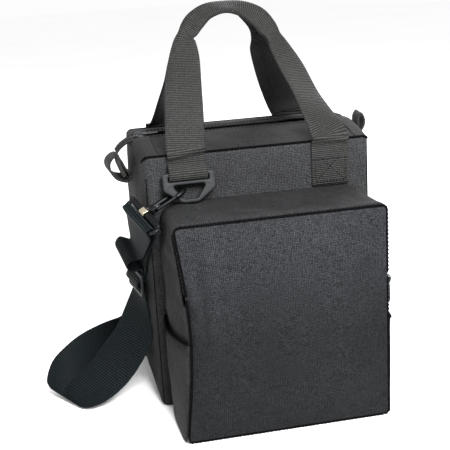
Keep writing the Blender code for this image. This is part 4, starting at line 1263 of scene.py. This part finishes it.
def anchors():
    """Where each handle leg is sewn down; the legs on the ring side loop round a ring."""
    for word, side in FACES:
        x = -side * HANDLE_X
        low, high = corners(word + "_anchor_patch")
        y = (low.y + high.y) / 2
        out = Vector((0, side, 0))
        path = [Vector((x, y + side * 0.3, low.z + 0.6 + (high.z - low.z - 1.2) * k / 12))
                for k in range(13)]
        patch = webbing("patch", path, Vector((-side, 0, 0)), *FLAT, HANDLE_WEBBING)
        middle = Vector((x, y + side * 1.4, (low.z + high.z) / 2))
        sewn = box_stitch(middle, 15.5, 15.0, out)
        dress(join(word + "_anchor_webbing", [patch] + sewn), "bag", "handle_webbing",
              word + "_anchor_patch")
    for word, side in FACES:
        high = corners(word + "_ring_tab")[1]
        bar = Vector(JOINTS[word + "_ring"]["pos_m"]) / MM
        x = bar.x
        inner = side * (HALF_Y + 1.6)
        route = [(x, inner, high.z - 0.5), (x, inner, bar.z + 6), (x, side * 77.6, bar.z - 1),
                 (x, side * 79.0, bar.z - 4.4), (x, bar.y, bar.z - 5.4),
                 (x, side * 85.0, bar.z - 4.2), (x, side * 86.0, bar.z - 0.5),
                 (x, side * 85.2, bar.z + 3.2), (x, side * 81.6, bar.z + 7.4),
                 (x, side * 79.6, high.z - 1.5)]
        path = smooth(route, 5)
        loop = webbing("loop", path, Vector((1, 0, 0)), HANDLE_WIDE, 1.9, HANDLE_WEBBING)
        across = [Vector((x - 17 + k * 3.4, side * 80.9, high.z - 2.6)) for k in range(11)]
        lines = [stitches([p - Vector((0, side * -0.55 * q, q * 2.0)) for p in across],
                          Vector((0, side, 0.4)).normalized(), radius=0.4) for q in range(3)]
        dress(join(word + "_ring_webbing", [loop] + lines), "bag", "handle_webbing",
              word + "_ring_tab")


# ---- moulded and metal fittings ------------------------------------------------------------
def rounded(outline, steps=6):
    """An outline from (across, up, radius) corners, each turned into an arc."""
    points = []
    count = len(outline)
    for i, (across, up, radius) in enumerate(outline):
        here = Vector((across, up))
        before = (Vector(outline[i - 1][:2]) - here).normalized()
        after = (Vector(outline[(i + 1) % count][:2]) - here).normalized()
        half = before.angle(after) / 2
        reach = radius / math.tan(half)
        centre = here + (before + after).normalized() * radius / math.sin(half)
        start = here + before * reach - centre
        turn = start.angle_signed(here + after * reach - centre)
        for k in range(steps + 1):
            points.append(centre + Matrix.Rotation(-turn * k / steps, 2) @ start)
    return points


def oblong(low, high, radius, steps=6):
    """A rectangle between two opposite corners, with its own corners rounded."""
    (a, b), (c, d) = low, high
    return rounded([(a, b, radius), (c, b, radius), (c, d, radius), (a, d, radius)], steps)


def plate(name, outlines, thickness, place, finish, edge=0.8):
    """A flat moulding with rounded edges, drawn in its own XY plane; later outlines are holes."""
    curve = bpy.data.curves.new(name, "CURVE")
    curve.dimensions = "2D"
    curve.fill_mode = "BOTH"
    curve.extrude = (thickness / 2 - edge) * MM
    curve.bevel_depth = edge * MM
    curve.bevel_resolution = 3
    curve.offset = -edge * MM
    for outline in outlines:
        spline = curve.splines.new("POLY")
        spline.points.add(len(outline) - 1)
        spline.use_cyclic_u = True
        for point, (a, b) in zip(spline.points, outline):
            point.co = (a * MM, b * MM, 0, 1)
    drawn = add(name, curve)
    graph = bpy.context.evaluated_depsgraph_get()
    mesh = bpy.data.meshes.new_from_object(drawn.evaluated_get(graph))
    bpy.data.objects.remove(drawn)
    clean(mesh, merge=0.000002)
    return finished(name, mesh, place, finish)


def finished(name, mesh, place, finish):
    """A hard fitting from a mesh drawn at the origin: moved to its place, with sharp edges kept."""
    mesh.transform(place)
    mesh.materials.clear()
    mesh.materials.append(finish)
    mesh.shade_smooth()
    mesh.set_sharp_from_angle(angle=math.radians(40))
    return add(name, mesh)


def block(name, low, high, place, finish, edge=0.5, segments=3):
    """A box with rounded edges, given by two corners in millimetres of the frame in place."""
    mesh = bpy.data.meshes.new(name)
    shape = bmesh.new()
    low, high = Vector(low) * MM, Vector(high) * MM
    made = bmesh.ops.create_cube(shape, size=1.0)
    for vertex in made["verts"]:
        vertex.co = Vector((low[i] + (vertex.co[i] + 0.5) * (high[i] - low[i]) for i in range(3)))
    bmesh.ops.bevel(shape, geom=shape.edges[:], offset=edge * MM, segments=segments, profile=0.5,
                    affect="EDGES")
    shape.to_mesh(mesh)
    shape.free()
    return finished(name, mesh, place, finish)


def at(x, y, z):
    """A shift in millimetres."""
    return Matrix.Translation((x * MM, y * MM, z * MM))


def frame_at(origin, along, across):
    """A frame with X along one direction and Y near another; origin in metres."""
    x = Vector(along).normalized()
    y = (Vector(across) - x * x.dot(Vector(across))).normalized()
    axes = Matrix((x, y, x.cross(y))).transposed().to_4x4()
    return Matrix.Translation(origin) @ axes


def placed(points, place):
    """Points in millimetres, moved by a placing matrix that is in metres."""
    return [place @ (Vector(p) * MM) / MM for p in points]


# ---- sliders and pulls ---------------------------------------------------------------------
TOOTH_HALF, WING, ARCH = 1.2, 1.3, 2.1    # half the teeth's height, a wing, under the bridge


def slider(word, place, pull_place, pull_length):
    """A zip slider with two waisted wings and a bridge, and a pull hanging from the bridge."""
    low_z = TOOTH_HALF + 0.2
    high_z = low_z + WING
    wing = rounded([(-5.2, -3.0, 1.0), (-1.0, -4.4, 2.5), (5.0, -4.6, 1.2), (5.0, 4.6, 1.2),
                    (-1.0, 4.4, 2.5), (-5.2, 3.0, 1.0)])
    pieces = [plate("wing", [wing], WING, place @ at(0, 0, way * (low_z + high_z) / 2),
                    SLIDER_METAL, 0.45) for way in (1, -1)]
    pieces.append(block("post", (-4.4, -0.3, -low_z - 0.5), (4.4, 0.3, low_z + 0.5), place,
                        SLIDER_METAL, 0.1, 1))
    bridge = [(-3.6, 0, high_z - 0.6), (-3.5, 0, high_z + 1.4), (-2.2, 0, high_z + 2.6),
              (0, 0, high_z + 3.0), (2.2, 0, high_z + 2.6), (3.5, 0, high_z + 1.4),
              (3.6, 0, high_z - 0.6)]
    pieces.append(webbing("bridge", placed(smooth(bridge, 4), place),
                          place.to_3x3() @ Vector((0, 1, 0)), 2.2, 1.0, SLIDER_METAL))
    dress(join(word + "_slider_metal", pieces), word + "_slider", "zip_metal",
          word + "_zip_slider")
    body = rounded([(0.9, -1.9, 0.8), (0.9, 1.9, 0.8), (-3.4, 2.4, 0.8), (-6.5, 3.3, 1.2),
                    (-pull_length, 3.3, 2.4), (-pull_length, -3.3, 2.4), (-6.5, -3.3, 1.2),
                    (-3.4, -2.4, 0.8)])
    eye = rounded([(-0.5, -1.1, 0.4), (-0.5, 1.1, 0.4), (-3.2, 1.4, 0.5), (-3.2, -1.4, 0.5)])
    panel = rounded([(-7.5, -1.7, 0.7), (-7.5, 1.7, 0.7), (2.6 - pull_length, 1.7, 1.0),
                     (2.6 - pull_length, -1.7, 1.0)])
    pieces = [plate("pull", [body, eye], 1.3, pull_place, SLIDER_METAL, 0.4),
              plate("pad", [panel], 1.9, pull_place, BLACK_METAL, 0.3)]
    dress(join(word + "_pull_metal", pieces), word + "_pull", "zip_metal", word + "_zip_pull")


def sliders():
    """The top zip's slider, and the pocket's, whose pull hangs down the pocket's right side."""
    middle = middle_of("main_zip_slider")
    place = at(middle.x, middle.y, ZIP_Z)
    pin = Matrix.Translation(JOINTS["main_pull"]["pos_m"])
    slider("main", place, pin @ Matrix.Rotation(math.pi, 4, "Z"), 20.0)
    pin = Vector(JOINTS["pocket_pull"]["pos_m"])
    turned = Matrix(((0, 0, 1), (0, -1, 0), (1, 0, 0))).to_4x4()
    bridge_z = TOOTH_HALF + 0.3 + WING + ARCH / 2
    place = Matrix.Translation(pin) @ turned
    hang = (place @ Matrix.Rotation(math.radians(2), 4, "Y")
            @ Matrix.Rotation(math.radians(-34), 4, "X"))
    slider("pocket", place @ at(0, 0, -bridge_z), hang, 24.0)


# ---- rings, swivels and snap hooks ---------------------------------------------------------
RING_W, RING_H, RING_T, RING_TILT = 52.0, 30.0, 4.0, math.radians(18)
# The way across each swivel: first for its hook, then for its webbing loop.
SWIVEL_ACROSS = {"front": (0.28, -0.74, -0.61), "rear": (0.96, 0.05, 0.25)}
LOOP_ACROSS = {"front": (0.209, -0.909, -0.361), "rear": (0.96, 0.05, 0.25)}
HOOK_TURN = {"front": math.radians(-46), "rear": math.radians(90)}
SWIVEL_HALF, SWIVEL_BACK = 26.6, 8.6      # half the loop's width, and how far back it reaches
RIM_REACH, HOOK_R = 36.0, 2.4


def rings():
    """A moulded ring at each side: a slot for its webbing, and an opening for the hook."""
    for word, side in FACES:
        bar = Vector(JOINTS[word + "_ring"]["pos_m"])
        half, top = RING_W / 2, 2.0
        outline = rounded([(-half, top, 2.6), (-half, top - 17, 5), (-8, top - RING_H, 9),
                           (8, top - RING_H, 9), (half, top - 17, 5), (half, top, 2.6)])
        slot = oblong((-19.9, -top), (19.9, -top - 4.6), 0.8, 3)
        opening = rounded([(-16.8, top - 12.2, 1.8), (16.8, top - 12.2, 1.8),
                           (6.6, top - 26, 4.5), (-6.6, top - 26, 4.5)])
        place = (Matrix.Translation(bar) @ Matrix.Rotation(side * RING_TILT, 4, "X")
                 @ Matrix.Rotation(math.pi / 2, 4, "X"))
        ring = plate(word + "_ring_moulding", [outline, slot, opening], RING_T, place, PLASTIC,
                     1.3)
        dress(ring, word + "_ring", "moulded_plastic", word + "_ring")


def swivel(word):
    """The strap's end fitting: a bar with a loop for the webbing, a bright collar and a hook."""
    joint = JOINTS[word + "_hook"]
    place = frame_at(joint["pos_m"], joint["axis"], LOOP_ACROSS[word])
    half = SWIVEL_HALF
    loop = [(-0.2, -half - 1.0, 0), (-3.9, -half - 1.2, 0), (-6.9, -half + 0.2, 0),
            (-SWIVEL_BACK, -half + 3.0, 0), (-SWIVEL_BACK, 0, 0), (-SWIVEL_BACK, half - 3.0, 0),
            (-6.9, half - 0.2, 0), (-3.9, half + 1.2, 0), (-0.2, half + 1.0, 0)]
    pieces = [tube("rod", placed(smooth(loop, 6), place), 2.1, BLACK_METAL, sides=14),
              block("bar", (-3.0, -half - 1.6, -4.4), (3.0, half + 1.6, 4.4), place, BLACK_METAL,
                    1.8, 4)]
    for end in (-1, 1):
        ring = [(0, end * (half + 0.6) + 2.4 * math.cos(a), 4.6 * math.sin(a))
                for a in (math.pi * k / 8 for k in range(16))]
        pieces.append(tube("boss", placed(ring, place), 1.3, BLACK_METAL, sides=8, closed=True))
    dress(join(word + "_swivel_metal", pieces), "bag", "zip_metal", word + "_swivel_loop")
    band = [oblong((-4.2, -6.2), (4.2, 6.2), 2.6), oblong((-3.2, -5.0), (3.2, 5.0), 1.6)]
    stand = place @ Matrix(((1, 0, 0), (0, 0, 1), (0, 1, 0))).to_4x4()
    collar = plate(word + "_collar_band", band, 8.8, stand, BRIGHT_METAL, 0.35)
    dress(collar, "bag", "zip_metal", word + "_swivel_collar")
    turned = frame_at(joint["pos_m"], joint["axis"], SWIVEL_ACROSS[word])
    turned = turned @ Matrix.Rotation(HOOK_TURN[word], 4, "X")
    reach, top = 9.0, RIM_REACH + 8.0
    route = [(8, -reach, 0), (14, -reach, 0), (20, -reach, 0), (top - reach - 4, -reach, 0)]
    route += [(top - reach + reach * math.sin(a), -reach * math.cos(a), 0)
              for a in (math.pi * k / 10 for k in range(11))]
    route.append((top - reach - 2.0, reach, 0))
    pieces = [tube("rod", placed(smooth(route, 4), turned), HOOK_R, BLACK_METAL, sides=16),
              block("base", (5.2, -reach - 2.5, -2.8), (11.5, reach - 3.6, 2.8), turned,
                    BLACK_METAL, 1.2, 4)]
    for low, high in ((1.7, 2.9), (-2.9, -1.7)):
        pieces.append(block("cheek", (5.2, reach - 4.2, low), (15.4, reach + 2.3, high), turned,
                            BLACK_METAL, 0.5))
    pieces.append(tube("rivet", placed([(12.5, reach, -3.1), (12.5, reach, 3.1)], turned), 1.0,
                       BRIGHT_METAL, sides=12))
    pieces.append(tube("pin", placed([(-5.0, 0, 0), (8.0, 0, 0)], turned), 1.8, BLACK_METAL,
                       sides=16))
    pieces.append(tube("head", placed([(-5.9, 0, 0), (-5.4, 0, 0), (-4.5, 0, 0)], turned),
                       [2.4, 3.2, 3.2], BLACK_METAL, sides=16))
    dress(join(word + "_hook_metal", pieces), word + "_hook", "zip_metal", word + "_hook")
    pivot = turned @ at(12.5, reach, 0)
    tip = top - reach - 2.3 - 12.5
    gate = block(word + "_gate_metal", (-2.2, -1.8, -1.3), (tip, 1.8, 1.3), pivot, BLACK_METAL,
                 0.7, 4)
    dress(gate, word + "_gate", "zip_metal", word + "_gate")


# ---- shoulder strap ------------------------------------------------------------------------
STRAP_WEB, STRAP_T = 50.0, 2.0
GLIDE_AT = Vector((-126.5, -31.0, 128.0))
GLIDE_ACROSS = (-0.12, 0.99, -0.05)
GLIDE_UP = (0.03, 0.05, 1.0)
GLIDE_H, GLIDE_T, GLIDE_BAR = 24.0, 2.5, 3.6
GLIDE_RIM = 3.6           # at the frame's left and right


def loop_stops(word, across_sign):
    """The stretch of webbing round the rod of a swivel."""
    joint = JOINTS[word + "_hook"]
    place = frame_at(joint["pos_m"], joint["axis"], LOOP_ACROSS[word])
    radius = 2.3 + STRAP_T / 2
    bend = radius * 0.95
    local = [(radius, 9.0), (radius, 1.0), (bend, -bend), (0, -radius), (-bend, -bend),
             (-radius, 1.0), (-radius, 9.0)]
    across = place.to_3x3() @ Vector((0, across_sign, 0))
    return [(p, across) for p in placed([(x - SWIVEL_BACK, 0, z) for x, z in local], place)]


def tri_glide():
    """The adjuster: a moulded frame with a bar between two slots for the webbing."""
    half = STRAP_WEB / 2 + 0.8
    slot_h = (GLIDE_H - 3 * GLIDE_BAR) / 2
    rim = half + GLIDE_RIM
    outlines = [oblong((-rim, -GLIDE_H / 2), (rim, GLIDE_H / 2), 3)]
    for low in (GLIDE_BAR / 2, -GLIDE_BAR / 2 - slot_h):
        outlines.append(oblong((-half, low), (half, low + slot_h), 0.7, 3))
    place = frame_at(GLIDE_AT * MM, GLIDE_ACROSS, GLIDE_UP)
    piece = plate("strap_adjuster", outlines, GLIDE_T, place, PLASTIC, 0.8)
    dress(piece, "bag", "moulded_plastic", "tri_glide")


def strap():
    """One length of webbing: up through the adjuster, round both hooks and over the floor.

    Each stop is a place and the way across the webbing there.
    """
    far = GLIDE_ACROSS
    inner = [((-121.2, -31, 130), far), ((-121.0, -37, 148), (-0.12, 0.97, -0.1)),
             ((-120.8, -52, 168), (-0.15, 0.95, 0.1)), ((-120.2, -71, 188), (-0.2, 0.88, 0.35))]
    hump = [((-124.8, -66, 182), (-0.2, 0.9, 0.3)), ((-124.4, -46, 167), (-0.12, 0.96, 0.15)),
            ((-127.5, -30, 161.5), (-0.12, 0.96, 0.2)), ((-134, -23, 160), (-0.13, 0.95, 0.25)),
            ((-138.5, -22, 153), (-0.13, 0.95, 0.25)), ((-134.5, -25, 146.5), (-0.13, 0.97, 0.15)),
            ((-124.5, -29, 146), (-0.12, 0.99, 0.0))]
    over = [(GLIDE_AT + Vector(shift), far) for shift in
            ((2.8, 0.4, 11.5), (2.6, 0.3, 8.0), (-3.4, 0.1, 2.4), (-3.4, -0.1, -2.4),
             (2.6, -0.3, -8.0), (2.8, -0.5, -12.5))]
    fall = [((-126, -34, 100), (-0.3, 0.94, 0.05)), ((-133, -39, 74), (-0.6, 0.78, 0.15)),
            ((-147, -40, 53), (-0.66, 0.69, 0.29)), ((-164, -41, 33), (-0.63, 0.70, 0.33))]
    turn = [((-183, -40, 17), (-0.54, 0.80, 0.27)), ((-203, -37, 6), (-0.53, 0.84, 0.08)),
            ((-214.5, -25, 8), (-0.57, 0.79, 0.20)), ((-212, -9, 15), (-0.46, 0.72, 0.51)),
            ((-199.5, 6, 20.5), (-0.46, 0.52, 0.72)), ((-180, 32, 23.5), (-0.33, 0.41, 0.85)),
            ((-153.5, 53.5, 26), (-0.15, 0.15, 0.98)), ((-136.5, 65, 26.4), (-0.11, 0.06, 0.99)),
            ((-118, 84, 26), (-0.1, 0.3, 0.95)), ((-90, 98, 22.5), (-0.05, 0.6, 0.8)),
            ((-50, 110, 14.5), (0, 0.86, 0.5)), ((-10, 118, 7.5), (0, 0.97, 0.2))]
    rise = [((50, 124, 2.8), (0, 1, 0.02)), ((84, 121, 4), (0, 1, 0)),
            ((106, 118, 14), (0.03, 1, 0)), ((116, 114, 36), (0.1, 0.98, 0)),
            ((116, 109, 68), (0.3, 0.93, 0.03)), ((110, 104, 102), (0.6, 0.78, 0.12)),
            ((101, 100, 134), (0.85, 0.5, 0.2)), ((92, 98, 160), (0.95, 0.2, 0.24))]
    tail = [((94.5, 92.5, 157), (0.95, 0.2, 0.24)), ((98.5, 95.8, 143), (0.92, 0.32, 0.22))]
    stops = (inner + loop_stops("front", -1) + hump + over + fall + turn + rise
             + loop_stops("rear", 1)[::-1] + tail)
    steps = 8
    path = smooth([centre for centre, _ in stops], steps)
    sides = smooth([side for _, side in stops], steps)
    # The strap's webbing is painted darker, as shade.
    web = webbing("shoulder_strap", path, sides, STRAP_WEB, STRAP_T - 0.2, STRAP_WEBBING_SHADED,
                  ruled=True)
    dress(web, "bag", "strap_webbing", "strap_front_loop", "strap_front_run",
          "strap_floor_run", "strap_rear_run")


# ---- inside --------------------------------------------------------------------------------
def lining():
    """A soft tub of thin cloth inside the foam, a little slack between its seams."""
    low, high = corners("lining_tub")
    plan = rounded_plan(high.x - 0.3, high.y - 0.3, 6.0, 7.0)
    rows = []
    floor_z = low.z + 1.2
    for shrink in (0.25, 0.6, 0.9):
        rows.append([Vector((s.x * shrink, s.y * shrink, floor_z)) for s, _, _ in plan])
    for k in range(28):
        z = floor_z + 1.5 + (high.z - 1.0 - floor_z - 1.5) * k / 27
        row = []
        for spot, out, t in plan:
            slack = math.sin(math.pi * t) ** 0.6 * math.sin(math.pi * min(1, k / 26)) if t else 0.0
            inward = slack * (0.8 + ripple((spot.x, spot.y, z), 30.0, 1.2, 11.0))
            row.append(Vector((spot.x - out.x * inward, spot.y - out.y * inward, z)))
        rows.append(row)
    tub = sew("lining_cloth_tub", rows, LINING, wrap=True)
    floor = sew("floor_cloth", [[Vector((s.x * f, s.y * f, floor_z)) for s, _, _ in plan]
                                for f in (0.02, 0.25)], LINING, wrap=True)
    thicken(tub, 0.7, 1.0)
    thicken(floor, 0.7, 1.0)
    hem = tube("hem", rows[-1] + rows[-1][:1], 1.0, EDGE_CLOTH_PAINTED_SHADE, sides=8)
    dress(join("lining_cloth_in", [tub, floor, hem]), "bag", "lining_cloth", "lining_tub")


def padding():
    """Foam round the walls, with its corners eased, over a stiff base board."""
    low, high = corners("foam_front")
    plan = rounded_plan(high.x - 0.4, -low.y - 0.4, CORNER - 1.5, 8.0)
    rows = []
    for k in range(18):
        z = low.z + 0.3 + (high.z - low.z - 1.3) * k / 17
        rows.append([Vector((s.x, s.y, z)) for s, _, _ in plan])
    rows.append([Vector((s.x - o.x * 0.6, s.y - o.y * 0.6, high.z - 0.3)) for s, o, _ in plan])
    foam = sew("padding_foam", rows, FOAM, wrap=True)
    thicken(foam, 4.6)
    dress(foam, "bag", "foam", "foam_front", "foam_back", "foam_left", "foam_right")
    low, high = corners("base_board")
    x, y = high.x - 0.4, high.y - 0.4
    board = plate("base_stiffener", [oblong((-x, -y), (x, y), 8)], high.z - low.z - 0.4,
                  at(0, 0, (low.z + high.z) / 2), BOARD, 0.6)
    dress(board, "bag", "board", "base_board")


def main():
    """Builds every piece, outside in."""
    camera()
    studio()
    main_body()
    main_seams()
    top()
    main_zip()
    zip_ends()
    pocket_gusset()
    pocket_front()
    pocket_edge()
    pocket_zip()
    slip_pockets()
    sliders()
    handle("front_handle", -1)
    handle("rear_handle", 1)
    anchors()
    rings()
    swivel("front")
    swivel("rear")
    tri_glide()
    strap()
    lining()
    padding()


main()
